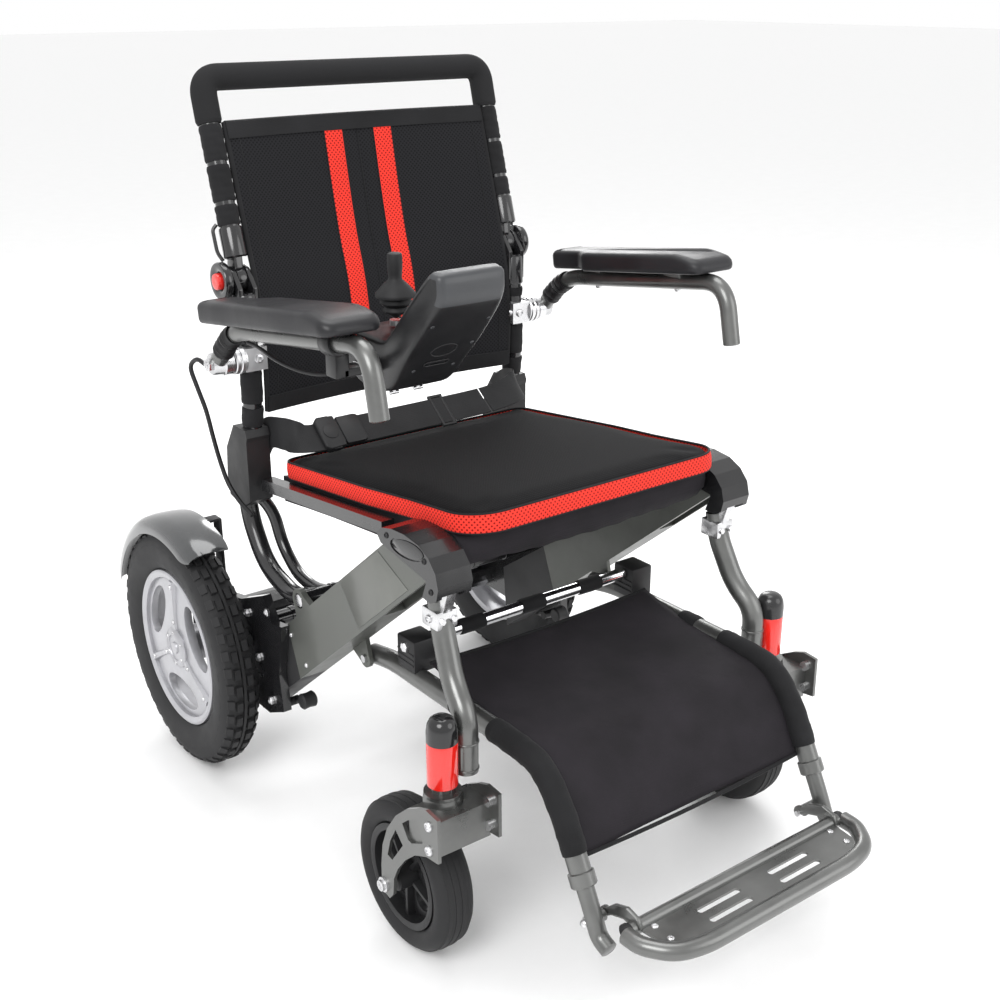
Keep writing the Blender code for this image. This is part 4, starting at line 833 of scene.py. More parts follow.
def back_panel():
    rows = spline(PANEL_LINE, 0.006)
    length = [0.0]
    for a, b in zip(rows, rows[1:]):
        length.append(length[-1] + (b - a).length)
    edges = [-HALF, -0.0525, -0.0515, -0.0245, -0.0235, -0.0015, 0.0015, 0.0235, 0.0245, 0.0515, 0.0525, HALF]
    columns = []
    for a, b in zip(edges, edges[1:]):
        count = max(1, round((b - a) / 0.0075))
        columns += [a + (b - a) * i / count for i in range(count)]
    columns.append(HALF)
    bm = bmesh.new()
    uv = bm.loops.layers.uv.new("cloth")
    grids = []
    for face_side in (-1, 1):
        grid = []
        for i, p in enumerate(rows):
            ahead = rows[min(i + 1, len(rows) - 1)] - rows[max(i - 1, 0)]
            normal = Vector((0, ahead.z, -ahead.y)).normalized()
            share = length[i] / length[-1]
            row = []
            for x in columns:
                near_edge = min(1, (HALF - abs(x)) / 0.010, min(i, len(rows) - 1 - i) / 2 + 0.3)
                thick = 0.0022 + 0.0010 * near_edge
                if 0.0240 < abs(x) < 0.0520 and face_side < 0:
                    thick += 0.0012
                if abs(x) < 0.0020:
                    thick -= 0.0014
                row.append(bm.verts.new(Vector((x, p.y, p.z))
                                        + normal * (sagging(x, share) + 0.0010 + face_side * thick)))
            grid.append(row)
        grids.append(grid)

    def quad(points, spots, material):
        face = bm.faces.new(points)
        face.material_index = material
        for loop, spot in zip(face.loops, spots):
            loop[uv].uv = spot

    n, m = len(rows), len(columns)
    for g, grid in enumerate(grids):
        for i in range(n - 1):
            for j in range(m - 1):
                mid = abs(columns[j] + columns[j + 1]) / 2
                red = 1 if 0.0240 < mid < 0.0520 and g == 0 else 0
                quad([grid[i][j], grid[i][j + 1], grid[i + 1][j + 1], grid[i + 1][j]],
                     [(columns[j], length[i]), (columns[j + 1], length[i]),
                      (columns[j + 1], length[i + 1]), (columns[j], length[i + 1])], red)
    for j in range(m - 1):
        for i in (0, n - 1):
            quad([grids[0][i][j], grids[0][i][j + 1], grids[1][i][j + 1], grids[1][i][j]], [(0, 0)] * 4, 0)
    for i in range(n - 1):
        for j in (0, m - 1):
            quad([grids[0][i][j], grids[0][i + 1][j], grids[1][i + 1][j], grids[1][i][j]], [(0, 0)] * 4, 0)
    bmesh.ops.recalc_face_normals(bm, faces=bm.faces)
    panel = emit("back_panel_cloth", bm, [MESH, RED_MESH], None,
                 ["back_panel_lower", "back_panel_upper"], 60)
    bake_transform(panel)
    bm = bmesh.new()
    for x in (-HALF - 0.0008, HALF + 0.0008):
        rod(bm, [Vector((x, p.y + 0.0012, p.z)) for p in rows], 0.0034, sides=14)
    for x in (-0.0520, -0.0240, 0.0240, 0.0520, -0.1800, 0.1800, 0.0):
        run = []
        for i, p in enumerate(rows):
            ahead = rows[min(i + 1, len(rows) - 1)] - rows[max(i - 1, 0)]
            normal = Vector((0, ahead.z, -ahead.y)).normalized()
            lift = 0.0036 if abs(x) < 0.1 else 0.0030
            run.append(Vector((x, p.y, p.z)) + normal * (sagging(x, length[i] / length[-1]) + 0.0010 - lift
                                                          + (0.0016 if x == 0 else 0)))
        rod(bm, run, 0.0008, sides=6)
    trim = emit("back_panel_binding", bm, BAND, None, angle=60)
    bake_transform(trim)
    bm = bmesh.new()
    for index, body, name in ((len(rows) - 1, "back_upper", "back_hem_upper"), (0, "back_lower", "back_hem_lower")):
        p, q = rows[index], rows[index - 4 if index else 4]
        form = bmesh.new()
        loops = []
        for k in range(49):
            x = -HALF + 2 * HALF * k / 48
            hang = sagging(x, 1.0 if index else 0.0) + 0.0010
            loops.append([Vector((x, b.y + hang + d, b.z + e)) for b, d, e in (
                (p, -0.0048, 0.0), (p, 0.0, 0.0022 if index else -0.0022), (p, 0.0048, 0.0), (q, 0.0046, 0.0),
                (q, -0.0046, 0.0))])
        skin(form, loops)
        emit(name, form, BAND, body, angle=50)
    bm.free()


# ---------------------------------------------------------------- arms

def rounded_plan(plan, inset):
    """The plan moved inwards by a distance, corner by corner."""
    count = len(plan)
    moved = []
    for i in range(count):
        a, b, c = (Vector(plan[k % count]) for k in (i - 1, i, i + 1))
        first, second = (b - a).normalized(), (c - b).normalized()
        normal = (Vector((-first.y, first.x)) + Vector((-second.y, second.x)))
        normal = normal.normalized()
        spread = max(0.5, normal.dot(Vector((-first.y, first.x))))
        moved.append(b + normal * (inset / spread))
    return moved


def fine(plan, spacing=0.004):
    """The plan with extra points along its long edges."""
    found = []
    for a, b in zip(plan, plan[1:] + plan[:1]):
        a, b = Vector(a), Vector(b)
        count = max(1, round((b - a).length / spacing))
        found += [a.lerp(b, i / count) for i in range(count)]
    return found


def arm(tag, side):
    route = rounded([(side * 0.262, y, z) for y, z in (
        (0.2080, 0.6120), (0.1560, 0.6650), (-0.1560, 0.7090), (-0.1720, 0.6330))], 0.045, 12)
    out = Vector((side, 0, 0))
    bm = bmesh.new()
    rod(bm, route, 0.0110, sides=32, round_ends=0.0015)
    lathe(bm, (side * 0.2446, 0.208, 0.612), out, [(0.0150, 0), (0.0168, 0.0010), (0.0168, 0.0120),
                                                   (0.0150, 0.0140), (0.0140, 0.0255), (0.0125, 0.0272)], 1, 40)
    hexagon(bm, (side * 0.2716, 0.208, 0.612), out, 0.0085, 0.0062, 1)
    bolt(bm, (side * 0.2776, 0.208, 0.612), out, 0.0048, 0.0016, 1)
    slope = Vector((0, ARM_RUN.z, -ARM_RUN.y)).normalized()
    for y in (0.085, -0.070):
        at = Vector((side * 0.262, y, 0.6867 - 0.1411 * y + 0.0000)) + slope * 0.0098
        bolt(bm, at, slope, 0.0042, 0.0040, 1)
    block(bm, (0.2500, 0.0700, 0.6850), (0.2740, 0.1000, 0.6960), side, 0.0012)
    block(bm, (0.2500, -0.0860, 0.7030), (0.2740, -0.0560, 0.7160), side, 0.0012)
    emit("arm_frame_" + tag, bm, [GUN, SILVER], "arm_" + tag, ["arm_tube_" + tag])
    bm = bmesh.new()
    dense = spline(route, 0.003)
    cuff = [p for p in dense if 0.150 < p.y < 0.190 and p.z < 0.668]
    radii = [0.0128 + 0.0012 * math.sin(i * 1.9) for i in range(len(cuff))]
    rod(bm, cuff, radii, sides=24)
    emit("arm_cuff_" + tag, bm, JACKET, "arm_" + tag)

    front, rear, x_in, x_out, notch = -0.135, 0.173, 0.2285, 0.3025, 0.2475
    plan = (arc((x_out - 0.006, rear - 0.006), 0.006, 0, 90, 5)
            + arc((notch + 0.004, rear - 0.004), 0.004, 90, 180, 4)
            + [(notch, 0.114), (x_in + 0.001, 0.087), (x_in, 0.080)]
            + [(x_in, front + 0.035)] + arc((x_in + 0.016, front + 0.016), 0.016, 180, 270, 6)
            + arc((x_out - 0.016, front + 0.016), 0.016, 270, 360, 6) + [(x_out, front + 0.035)])
    plan = fine(plan)
    loops = []
    for inset, z in ((0.0080, 0.0), (0.0030, 0.0006), (0.0008, 0.0026), (0.0, 0.0060), (0.0, 0.0190),
                     (0.0010, 0.0222), (0.0034, 0.0248), (0.0072, 0.0263), (0.0130, 0.0270)):
        loop = []
        for p in rounded_plan(plan, inset):
            nose = max(0.0, (front + 0.047 - p.y) / 0.047)
            slope_cut = 0.0120 * nose ** 1.4 if z > 0.012 else 0
            loop.append(Vector((side * p.x, p.y, z - slope_cut)))
        loops.append(loop)
    bm = bmesh.new()
    skin(bm, loops)
    tilt = (Matrix.Translation((0, 0.007, 0.7256)) @ Matrix.Rotation(math.radians(-7.8), 4, "X")
            @ Matrix.Translation((0, -0.007, -0.0270)))
    bmesh.ops.transform(bm, matrix=tilt, verts=bm.verts)
    pad = emit("arm_pad_skin_" + tag, bm, SKIN, "arm_" + tag, ["arm_pad_" + tag], 50)


# ---------------------------------------------------------------- seat

SEAT_TILT = math.radians(6.6)


def seat_place(above=0.0005):
    """From the cushion's own plan to the chair's layout."""
    height = 0.4511 + math.tan(SEAT_TILT) * 0.233 + above
    return Matrix.Translation((0, -0.033, height)) @ Matrix.Rotation(-SEAT_TILT, 4, "X")


def cushion_plan(grow=0.0):
    corner, front, rear, half, rear_half = 0.045, -0.2082, 0.2080, 0.1915, 0.1965
    plan = (arc((half - corner, front + corner), corner, 0, -90, 12)
            + arc((-half + corner, front + corner), corner, -90, -180, 12)
            + [(-half, -0.085), (-rear_half, 0.000)]
            + arc((-rear_half + 0.02, rear - 0.02), 0.02, 180, 90, 6)
            + arc((rear_half - 0.02, rear - 0.02), 0.02, 90, 0, 6)
            + [(rear_half, 0.000), (half, -0.085)])
    return [(p.x, p.y) for p in rounded_plan(fine(plan[::-1], 0.006), -grow)]


def puffed(name, bm, voxel, cap, pressure=4.0):
    """Padded fabric: the form is blown up by a short cloth simulation, its base held down."""
    data = bpy.data.meshes.new(name)
    bm.to_mesh(data)
    bm.free()
    work = bpy.data.objects.new(name + "_work", data)
    bpy.context.scene.collection.objects.link(work)
    grid = work.modifiers.new("grid", "REMESH")
    grid.mode, grid.voxel_size = "VOXEL", voxel
    evaluated = work.evaluated_get(bpy.context.evaluated_depsgraph_get())
    fresh = bpy.data.meshes.new_from_object(evaluated)
    work.modifiers.remove(grid)
    work.data = fresh
    start = [v.co.copy() for v in fresh.vertices]
    floor_z = min(p.z for p in start)
    held = work.vertex_groups.new(name="held")
    held.add([i for i, p in enumerate(start) if p.z < floor_z + 0.004], 1.0, "REPLACE")
    cloth = work.modifiers.new("cloth", "CLOTH")
    cloth.settings.vertex_group_mass = "held"
    cloth.settings.use_pressure = True
    cloth.settings.uniform_pressure_force = pressure
    cloth.settings.effector_weights.gravity = 0
    cloth.settings.quality = 5
    for number in range(1, 21):
        bpy.context.scene.frame_set(number)
    evaluated = work.evaluated_get(bpy.context.evaluated_depsgraph_get())
    for vertex, before in zip(evaluated.data.vertices, start):
        move = vertex.co - before
        limit = cap if before.z > 0.018 else 0.0006
        if move.length > limit:
            move = move.normalized() * limit
        fresh.vertices[vertex.index].co = before + move
    work.modifiers.remove(cloth)
    bpy.context.scene.frame_set(1)
    result = bmesh.new()
    result.from_mesh(work.data)
    bpy.data.objects.remove(work)
    return result


def cushion():
    place = seat_place()
    loops = []
    for inset, z in ((0.0060, 0.0), (0.0018, 0.0010), (0.0010, 0.0045), (0.0014, 0.0110), (0.0010, 0.0190),
                     (0.0016, 0.0222), (0.0060, 0.0240), (0.0140, 0.0250), (0.0300, 0.0256)):
        loops.append([Vector((x, y, z)) for x, y in cushion_plan(-inset)])
    bm = bmesh.new()
    skin(bm, loops)
    form = puffed("cushion", bm, 0.005, 0.0030)
    for _ in range(2):
        bmesh.ops.smooth_vert(form, verts=form.verts, factor=0.5, use_axis_x=True, use_axis_y=True,
                              use_axis_z=True)
    bmesh.ops.transform(form, matrix=place, verts=form.verts)
    made = emit("seat_cushion_cover", form, RIBS, "seat", ["seat_cushion"], 60)
    back = (Matrix.Translation(SHIFT) @ place).inverted()
    mark_uv(made, lambda co: ((back @ co).x, (back @ co).y))
    fine_mesh = made.modifiers.new("fine", "SUBSURF")
    fine_mesh.levels = fine_mesh.render_levels = 1

    levels = (0.0010, 0.0035, 0.0090, 0.0140, 0.0195, 0.0222)
    bulge = (0.0002, 0.0012, 0.0018, 0.0018, 0.0010, 0.0002)
    band = bmesh.new()
    uv = band.loops.layers.uv.new("cloth")
    plans = [cushion_plan(b + 0.0006) for b in bulge]
    rows = [[band.verts.new(place @ Vector((x, y, z))) for x, y in plan]
            for plan, z in zip(plans, levels)]
    run = [0.0]
    for i in range(len(plans[0])):
        a, b = Vector(plans[0][i]), Vector(plans[0][(i + 1) % len(plans[0])])
        run.append(run[-1] + (b - a).length)
    for r in range(len(rows) - 1):
        for i in range(len(rows[0])):
            j = (i + 1) % len(rows[0])
            face = band.faces.new((rows[r][i], rows[r][j], rows[r + 1][j], rows[r + 1][i]))
            for loop, spot in zip(face.loops, ((run[i], levels[r]), (run[i + 1], levels[r]),
                                               (run[i + 1], levels[r + 1]), (run[i], levels[r + 1]))):
                loop[uv].uv = spot
    bmesh.ops.recalc_face_normals(band, faces=band.faces)
    ribbon = emit("seat_cushion_band", band, RED_MESH, "seat", angle=60)
    thick = ribbon.modifiers.new("thickness", "SOLIDIFY")
    thick.thickness, thick.offset = 0.0008, -1
    bm = bmesh.new()
    for z, grow in ((0.0012, 0.0000), (0.0228, -0.0004)):
        path = [place @ Vector((x, y, z)) for x, y in cushion_plan(grow)]
        rod(bm, path + path[:1], 0.0014, sides=10)
    emit("seat_cushion_piping", bm, BAND, "seat", angle=60)


def seat_base():
    def line(y, above):
        return 0.4511 + math.tan(SEAT_TILT) * (0.200 - y) + above

    profile = [(0.185, -0.0010), (0.090, -0.0010), (-0.010, -0.0010), (-0.110, -0.0010), (-0.204, -0.0010),
               (-0.2105, -0.0080), (-0.2120, -0.0180), (-0.2100, -0.0300), (-0.2040, -0.0400),
               (-0.1850, -0.0445), (-0.120, -0.0405), (-0.030, -0.0385), (0.060, -0.0375), (0.140, -0.0380),
               (0.185, -0.0390)]
    loops = []
    for k in range(49):
        x = -0.190 + 0.380 * k / 48
        sag = 0.006 * (1 - (x / 0.190) ** 2)
        wrinkle = 0.0007 * math.sin(k * 1.3) + 0.0006 * math.sin(k * 0.47 + 1)
        edge = 0.0030 if k in (0, 48) else 0.0
        loops.append([Vector((x, y + edge, line(max(y, -0.206), a)
                              - (sag + wrinkle if a < -0.03 else 0) + (edge if a < -0.03 else 0)))
                      for y, a in profile])
    bm = bmesh.new()
    skin(bm, loops)
    base = emit("seat_base_cloth", bm, CLOTH, "seat", ["seat_base"], 60)
    for tag, side in SIDES:
        dress("seat_rail_" + tag, BLACK_TUBE, 0.0010)
        bm = bmesh.new()
        for y in (-0.165, -0.060, 0.050, 0.140):
            bolt(bm, (side * 0.2060, y, line(y, -0.0155)), (side, 0, 0), 0.0042, 0.0020)
        emit("seat_screws_" + tag, bm, SILVER, "seat")


BELT = [(-0.1940, 0.5180), (-0.1700, 0.5090), (-0.0900, 0.5080), (0.0400, 0.5085), (0.1300, 0.5110),
        (0.1940, 0.5230)]


def belt():
    inner = [(x, 0.150, z) for x, z in BELT[1:-1]]
    line = spline([(-0.1950, 0.2320, 0.4860), (-0.1945, 0.2120, 0.5060), (-0.1900, 0.1780, 0.5120)] + inner
                  + [(0.1860, 0.1700, 0.5140), (0.1945, 0.2080, 0.5080), (0.1950, 0.2320, 0.4880)], 0.004)
    for name, low, high in (("belt_end_R", -0.198, -0.148), ("belt_middle", -0.150, 0.112),
                            ("belt_end_L", 0.110, 0.198)):
        part = [p for p in line if low <= p.x <= high]
        loops = []
        for i, p in enumerate(part):
            ahead = (part[min(i + 1, len(part) - 1)] - part[max(i - 1, 0)]).normalized()
            turned = min(1.0, max(0.0, (p.y - 0.152) / 0.050))
            wide = Vector((0, 0.77, 0.64)) * (1 - turned) + Vector((0, 0.55, 0.83)) * turned
            wide = (wide - ahead * wide.dot(ahead)).normalized()
            up = ahead.cross(wide)
            loops.append([p + wide * w + up * h for w, h in (
                (-0.0205, -0.0010), (-0.0208, 0), (-0.0205, 0.0010), (-0.012, 0.0012), (0, 0.0012),
                (0.012, 0.0012), (0.0205, 0.0010), (0.0208, 0), (0.0205, -0.0010), (0.012, -0.0012),
                (0, -0.0012), (-0.012, -0.0012))])
        bm = bmesh.new()
        skin(bm, loops)
        middle = name == "belt_middle"
        made = emit(name, bm, WEB, "seat" if middle else None,
                    ["belt_strap"] if middle else (), 40)
        mark_uv(made, lambda co: (co.x, co.y))
        if not middle:
            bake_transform(made)
    bm = bmesh.new()
    slab(bm, [(-0.1560, 0.1300), (-0.1500, 0.1245), (-0.1260, 0.1265), (-0.1260, 0.1735), (-0.1500, 0.1755),
              (-0.1560, 0.1700)], 0.5098, 0.5226, 2, 0.0024)
    slab(bm, [(-0.1235, 0.1285), (-0.0960, 0.1285), (-0.0905, 0.1310), (-0.0905, 0.1690), (-0.0960, 0.1715),
              (-0.1235, 0.1715)], 0.5100, 0.5206, 2, 0.0020)
    slab(bm, [(-0.1262, 0.1330), (-0.1232, 0.1330), (-0.1232, 0.1670), (-0.1262, 0.1670)], 0.5112, 0.5190, 2,
         0.0004)
    for y in (0.1262, 0.1738):
        slab(bm, [(-0.1470, y - 0.0018), (-0.1330, y - 0.0018), (-0.1330, y + 0.0018), (-0.1470, y + 0.0018)],
             0.5125, 0.5205, 2, 0.0012)
    slab(bm, arc((-0.1400, 0.150), 0.0110, 0, 345, 24), 0.5222, 0.5236, 2, 0.0005)
    tip = (Matrix.Translation((0, 0.150, 0.5085)) @ Matrix.Rotation(math.radians(39.7), 4, "X")
           @ Matrix.Translation((0, -0.150, -0.5145)))
    bmesh.ops.transform(bm, matrix=tip, verts=bm.verts)
    emit("belt_buckle_shell", bm, PLASTIC, "seat", ["belt_buckle"])
    bm = bmesh.new()
    for x in (0.030, 0.048):
        rod(bm, [(x, 0.1265, 0.5145), (x, 0.1735, 0.5145)], 0.0024, sides=14)
    for y in (0.1265, 0.1735):
        rod(bm, [(0.028, y, 0.5145), (0.050, y, 0.5145)], 0.0024, sides=14)
    bmesh.ops.transform(bm, matrix=tip, verts=bm.verts)
    emit("belt_adjuster", bm, PLASTIC, "seat")


# ---------------------------------------------------------------- controller

STICK = Vector((-0.168, -0.063, 0.703))


def controller_shell():
    """The moulded paddle: one profile lofted across, its sides rounded and its foot narrower."""
    profile = [(-0.0200, 0.6550), (-0.0172, 0.6740), (-0.0180, 0.6880), (-0.0300, 0.6968), (-0.0700, 0.6972),
               (-0.1020, 0.6976), (-0.1160, 0.7060), (-0.1540, 0.7455), (-0.1900, 0.7822), (-0.2000, 0.7850),
               (-0.2085, 0.7832), (-0.2118, 0.7740), (-0.2070, 0.7500), (-0.1700, 0.7060), (-0.1400, 0.6730),
               (-0.1180, 0.6480), (-0.1000, 0.6370), (-0.0700, 0.6332), (-0.0400, 0.6370)]
    outline = spline([Vector((0, y, z)) for y, z in profile + profile[:1]], 0.004)[:-1]
    plan = [(p.y, p.z) for p in outline][::-1]
    loops = []
    for share, inset in ((-1.0, 0.0058), (-0.985, 0.0038), (-0.95, 0.0020), (-0.90, 0.0008), (-0.80, 0.0002),
                         (-0.40, 0), (0, 0), (0.40, 0), (0.80, 0.0002), (0.90, 0.0008),
                         (0.95, 0.0020), (0.985, 0.0038), (1.0, 0.0058)):
        loop = []
        for p in rounded_plan(plan, -inset) if signed(plan) < 0 else rounded_plan(plan, inset):
            foot = max(0.0, (0.700 - p.y) / 0.070)
            tip = max(0.0, (-p.x - 0.160) / 0.052)
            half = 0.0465 * (1 - 0.16 * foot ** 1.5 - 0.10 * tip ** 2)
            loop.append(Vector((STICK.x + half * share, p.x, p.y)))
        loops.append(loop)
    bm = bmesh.new()
    skin(bm, loops)
    for face in bm.faces:
        middle = face.calc_center_median()
        face.material_index = 1 if middle.z > 0.7520 and middle.y < -0.1930 else 0
    return bm


def signed(plan):
    return sum(a[0] * b[1] - b[0] * a[1] for a, b in zip(plan, plan[1:] + plan[:1]))


def controller():
    dress("power_key", SILVER, 0.0006)
    dress("joystick_gimbal", SILVER, 0.0006)
    bm = controller_shell()
    slab(bm, [(-0.258, -0.096), (-0.190, -0.096), (-0.190, -0.074), (-0.258, -0.074)], 0.6600, 0.6700, 2, 0.0020)
    slab(bm, [(-0.268, -0.096), (-0.250, -0.096), (-0.250, -0.074), (-0.268, -0.074)], 0.6600, 0.6880, 2, 0.0020)
    middle = Vector((-0.262, -0.085, 0.6990))
    lathe(bm, middle, ARM_RUN, [(0.0114, -0.0110), (0.0142, -0.0110), (0.0152, -0.0100), (0.0152, 0.0100),
                                (0.0142, 0.0110), (0.0114, 0.0110)], 0, 40, ring=True)
    emit("controller_paddle", bm, [SHELL, HOOD], "controller", ["controller_shell"], 45)
    bm = bmesh.new()
    lathe(bm, STICK, (0, 0, 1), [
        (0.0004, 0.0052), (0.0035, 0.0052), (0.0060, 0.0080), (0.0150, 0.0130), (0.0152, 0.0142),
        (0.0130, 0.0180), (0.0183, 0.0224), (0.0185, 0.0236), (0.0165, 0.0280), (0.0230, 0.0294),
        (0.0233, 0.0312), (0.0228, 0.0332), (0.0140, 0.0430), (0.0084, 0.0480), (0.0076, 0.0500),
        (0.0080, 0.0560), (0.0086, 0.0620), (0.0086, 0.0745), (0.0078, 0.0772), (0.0060, 0.0780),
        (0.0004, 0.0781)], steps=48)
    emit("joystick_boot", bm, BOOT, "stick", ["joystick"])
    slope = Vector((0, -0.0670, 0.0770)).normalized()
    face = Vector((0, -slope.z, slope.y))
    foot = Vector((STICK.x, -0.1400, 0.6722))
    bm = bmesh.new()
    for t, x in ((-0.008, 0.026), (-0.008, -0.026), (0.030, 0.034), (0.072, 0.036), (0.072, -0.036)):
        bolt(bm, foot + Vector((x, 0, 0)) + slope * t, face, 0.0024, 0.0010)
    emit("controller_screws", bm, HOOD, "controller")
    bm = bmesh.new()
    ring = [foot + slope * (0.024 + 0.0105 * math.sin(a)) + Vector((0.0165 * math.cos(a), 0, 0)) + face * 0.0002
            for a in (2 * math.pi * k / 40 for k in range(41))]
    rod(bm, ring, 0.0008, sides=8)
    pill = (arc((0.0125, 0), 0.0035, -90, 90, 8) + arc((-0.0125, 0), 0.0035, 90, 270, 8))
    ring = [foot + slope * (b + 0.001) + Vector((a, 0, 0)) + face * 0.0004 for a, b in pill + pill[:1]]
    rod(bm, ring, 0.0007, sides=8)
    emit("controller_recess", bm, PLASTIC, "controller")
    bm = bmesh.new()
    for x in (-0.1880, -0.1560):
        rod(bm, [(x, -0.085, 0.6300), (x, -0.085, 0.6370)], 0.0026, sides=16)
        rod(bm, [(x - 0.006, -0.085, 0.6300), (x + 0.006, -0.085, 0.6300)], 0.0022, sides=16)
    block(bm, (-0.2320, -0.0985, 0.6590), (-0.2200, -0.0715, 0.6712), 1, 0.0012)
    bolt(bm, (-0.226, -0.085, 0.6590), (0, 0, -1), 0.0040, 0.0030)
    emit("controller_clips", bm, SILVER, "controller")
    route = spline([(-0.2620, 0.1200, 0.6563), (-0.2620, 0.0900, 0.6560), (-0.2590, 0.0550, 0.6480),
                    (-0.2510, 0.0150, 0.6430), (-0.2390, -0.0180, 0.6440), (-0.2240, -0.0400, 0.6500),
                    (-0.2100, -0.0520, 0.6560)], 0.008)
    bm = bmesh.new()
    rod(bm, route, 0.0024, sides=12)
    lead = emit("controller_lead", bm, JACKET, None)
    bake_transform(lead)


# ---------------------------------------------------------------- legrest and footplate

def legrest():
    bm, wraps = bmesh.new(), bmesh.new()
    for side in (-1, 1):
        route = rounded([(side * LEGREST_X, y, z) for y, z in (
            (-0.012, 0.2700), (-0.058, 0.2790), (-0.300, 0.2790), (-0.348, 0.2760), (-0.383, 0.2380),
            (-0.4225, 0.1640))], 0.028, 10)
        rod(bm, route, 0.0125, sides=32)
        way = Vector((0, -0.0395, -0.0740)).normalized()
        end = Vector((side * LEGREST_X, -0.4225, 0.1640))
        lathe(bm, end - way * 0.016, way, [(0.0126, 0), (0.0148, 0.0012), (0.0148, 0.0150), (0.0136, 0.0165)],
              0, 36)
        block(bm, (0.1570, -0.1190, 0.2870), (0.1920, -0.0810, 0.3300), side, 0.0030, 2)
        for z in (0.2960, 0.3030, 0.3100):
            block(bm, (0.1555, -0.1170, z), (0.1930, -0.0830, z + 0.0034), side, 0.0012, 2)
        hexagon(bm, (side * 0.1910, -0.100, 0.3180), (side, 0, 0), 0.0066, 0.0046, 1)
        rod(bm, [(side * 0.1740, *LEGREST_PIVOT), (side * 0.2040, *LEGREST_PIVOT)], 0.0050, 1, 20)
        hexagon(bm, (side * 0.1930, *LEGREST_PIVOT), (side, 0, 0), 0.0085, 0.0055, 1)
        dense = spline(route, 0.004)
        sleeve(wraps, [p for p in dense if -0.222 <= p.y <= -0.190], 0.0139)
        sleeve(wraps, [p for p in dense if p.y < -0.262 and p.z > 0.192], 0.0143)
    emit("legrest_tubes", bm, [GUN, SILVER, PLASTIC], "legrest", ["legrest_frame"])
    emit("legrest_loops", wraps, BAND, "legrest")
    bm = bmesh.new()
    rod(bm, [(-0.155, -0.100, 0.320), (0.155, -0.100, 0.320)], 0.0080, sides=32)
    emit("legrest_cross_bar", bm, CHROME, "legrest")
    bm = bmesh.new()
    for x in (-0.095, 0.0, 0.095):
        sleeve(bm, [Vector((x + t * 0.0045, -0.100, 0.320)) for t in range(-4, 5)], 0.0098)
    emit("legrest_wraps", bm, BAND, "legrest")


CALF = [(-0.126, 0.3010), (-0.200, 0.2860), (-0.290, 0.2800), (-0.340, 0.2720), (-0.372, 0.2440),
        (-0.392, 0.2080), (-0.404, 0.1850)]


def calf_sheet():
    rows = spline([(0, y, z) for y, z in CALF], 0.006)
    bm = bmesh.new()
    uv = bm.loops.layers.uv.new("cloth")
    columns = [-0.1735 + 0.347 * k / 48 for k in range(49)]
    length = [0.0]
    for a, b in zip(rows, rows[1:]):
        length.append(length[-1] + (b - a).length)
    grid = []
    for i, p in enumerate(rows):
        ahead = rows[min(i + 1, len(rows) - 1)] - rows[max(i - 1, 0)]
        down = Vector((0, -ahead.z, ahead.y)).normalized()
        if down.z > 0:
            down = -down
        row = []
        for x in columns:
            span = 1 - (x / 0.1735) ** 2
            crease = 0.0006 * math.sin(x * 55 + i * 0.35) * span
            row.append(bm.verts.new(Vector((x, p.y, p.z)) + down * (0.0060 * span + crease)))
        grid.append(row)
    for i in range(len(rows) - 1):
        for j in range(48):
            face = bm.faces.new((grid[i][j], grid[i][j + 1], grid[i + 1][j + 1], grid[i + 1][j]))
            for loop, spot in zip(face.loops, ((columns[j], length[i]), (columns[j + 1], length[i]),
                                               (columns[j + 1], length[i + 1]), (columns[j], length[i + 1]))):
                loop[uv].uv = spot
    sheet = emit("calf_sling", bm, CLOTH, "legrest", ["calf_sheet"], 60)
    thick = sheet.modifiers.new("thickness", "SOLIDIFY")
    thick.thickness, thick.offset = 0.0018, 0
    bm = bmesh.new()
    for i in (0, len(rows) - 1):
        rod(bm, [v.co for v in grid_edge(rows, columns, i)], 0.0024, sides=10)
    emit("calf_sling_hems", bm, BAND, "legrest")


def grid_edge(rows, columns, i):
    """The sagging end row of the calf sling, as short-lived points."""
    class Spot:
        def __init__(self, co):
            self.co = co
    return [Spot(Vector((x, rows[i].y, rows[i].z - 0.0050 * (1 - (x / 0.1735) ** 2)))) for x in columns]


def lower_leg(tag, side):
    bm = bmesh.new()
    rod(bm, rounded([(side * LEGREST_X, y, z) for y, z in (
        (-0.3966, 0.2125), (-0.4365, 0.1378), (-0.4480, 0.1130), (-0.4640, 0.1070))], 0.016), 0.0100,
        sides=32, round_ends=0.0010)
    out = Vector((side, 0, 0))
    pivot = Vector((0, *PLATE_PIVOT))
    lathe(bm, pivot + out * 0.1600, out, [(0.0062, 0), (0.0070, 0.0008), (0.0070, 0.0212), (0.0062, 0.0220)],
          0, 28)
    rod(bm, [pivot + out * 0.1490, pivot + out * 0.1700], 0.0035, 1, 16)
    lathe(bm, pivot + out * 0.1820, out, [(0.0068, 0), (0.0068, 0.0030), (0.0056, 0.0040), (0.0050, 0.0070),
                                          (0.0030, 0.0092), (0.0004, 0.0098)], 1, 24)
    lathe(bm, (side * 0.1755, -0.4245, 0.1605), out, [(0.0030, 0), (0.0052, 0.0020), (0.0060, 0.0048),
                                                     (0.0052, 0.0076), (0.0004, 0.0094)], 1, 24)
    emit("lower_leg_tube_" + tag, bm, [GUN, SILVER], "lower_legs", ["lower_leg_" + tag])


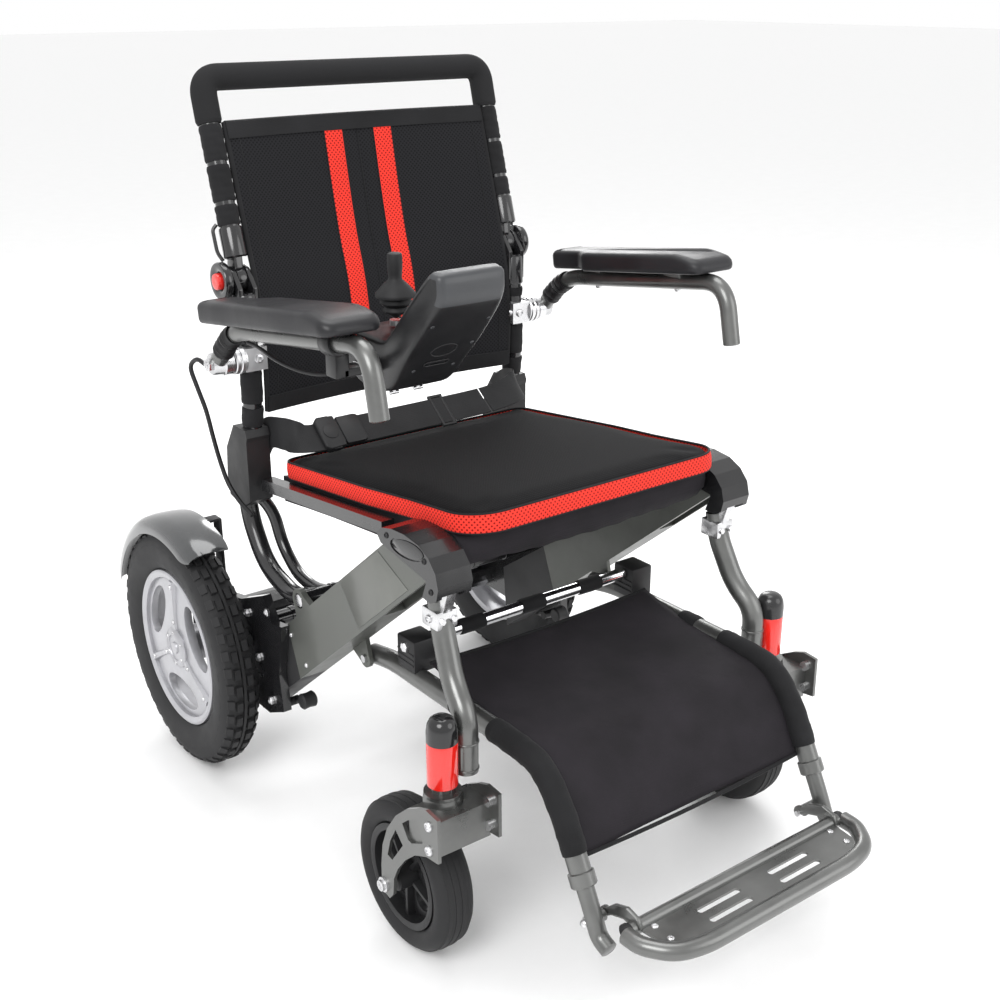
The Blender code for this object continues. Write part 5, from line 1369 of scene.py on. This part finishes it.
def footplate():
    half = [(0.173, -0.480), (0.1725, -0.500), (0.152, -0.530), (0.115, -0.540)]
    bm = bmesh.new()
    rod(bm, rounded([(-x, y, 0.131) for x, y in half] + [(x, y, 0.131) for x, y in half[::-1]], 0.020, 8),
        0.0100, sides=28, round_ends=0.0006)
    rod(bm, [(-0.166, -0.4760, 0.1315), (0.166, -0.4760, 0.1315)], 0.0080, sides=28)
    plate, slots = bmesh.new(), bmesh.new()
    slab(plate, [(-0.155, -0.480), (-0.150, -0.522), (-0.125, -0.536), (0.125, -0.536), (0.150, -0.522),
                 (0.155, -0.480)], 0.1293, 0.1325, 2, 0)
    for x in (-0.055, 0.055):
        for y in (-0.5170, -0.4985):
            ends = (arc((x + 0.028, y), 0.004, -90, 90, 10) + arc((x - 0.028, y), 0.004, 90, 270, 10))
            slab(slots, ends, 0.12, 0.14, 2, 0)
    merge(bm, carve("plate", plate, slots), 0)
    for side in (-1, 1):
        reach = (arc(PLATE_PIVOT, 0.0085, -60, 100, 14)[::-1]
                 + [(-0.4400, 0.1250), (-0.4600, 0.1320), (-0.4750, 0.1280), (-0.4860, 0.1340),
                    (-0.4800, 0.1440), (-0.4620, 0.1480), (-0.4430, 0.1410)])
        slab(bm, reach, *sorted((side * 0.1530, side * 0.1590)), 0, 0.0014)
        lathe(bm, (side * 0.1670, -0.4760, 0.1315), (side, 0, 0), [(0.0070, -0.004), (0.0092, 0), (0.0092, 0.0045),
                                                                 (0.0070, 0.0060)], 1, 24)
        for y in (-0.4880, -0.5120):
            bolt(bm, (side * 0.1400, y, 0.1325), (0, 0, 1), 0.0040, 0.0016, 2)
    emit("footplate_frame", bm, [GUN, PLASTIC, SILVER], "footrest", ["footplate"])


def cross_tubes():
    for name, body, cad, y, z, radius, reach in (
            ("rear_cross_bar", "chassis", "rear_cross_tube", 0.1990, 0.2430, 0.0110, 0.2350),
            ("back_pivot_bar", "back_lower", "back_pivot_tube", 0.082, 0.322, 0.0100, 0.2340)):
        bm = bmesh.new()
        rod(bm, [(-reach, y, z), (reach, y, z)], radius, 0, 32)
        for side in (-1, 1):
            for x in (0.180, 0.120):
                lathe(bm, (side * x, y, z), (side, 0, 0), [(radius, 0), (radius + 0.0014, 0.0006),
                                                          (radius + 0.0014, 0.0080), (radius, 0.0086)], 0, 32)
            lathe(bm, (side * (reach - 0.0005), y, z), (side, 0, 0),
                  [(radius * 0.85, 0), (radius * 0.85, 0.0012), (radius * 0.40, 0.0020), (0.0004, 0.0020)], 1, 24)
        emit(name, bm, [BLACK_TUBE, SILVER], body, [cad])


for part_tag, part_side in SIDES:
    rear_wheel(part_tag, part_side)
    fender(part_tag, part_side)
    chassis_side(part_tag, part_side)
    front_leg(part_tag, part_side)
    caster(part_tag, part_side)
    back_frame(part_tag, part_side)
    arm(part_tag, part_side)
    lower_leg(part_tag, part_side)
handle()
back_panel()
cushion()
seat_base()
belt()
controller()
legrest()
calf_sheet()
footplate()
cross_tubes()
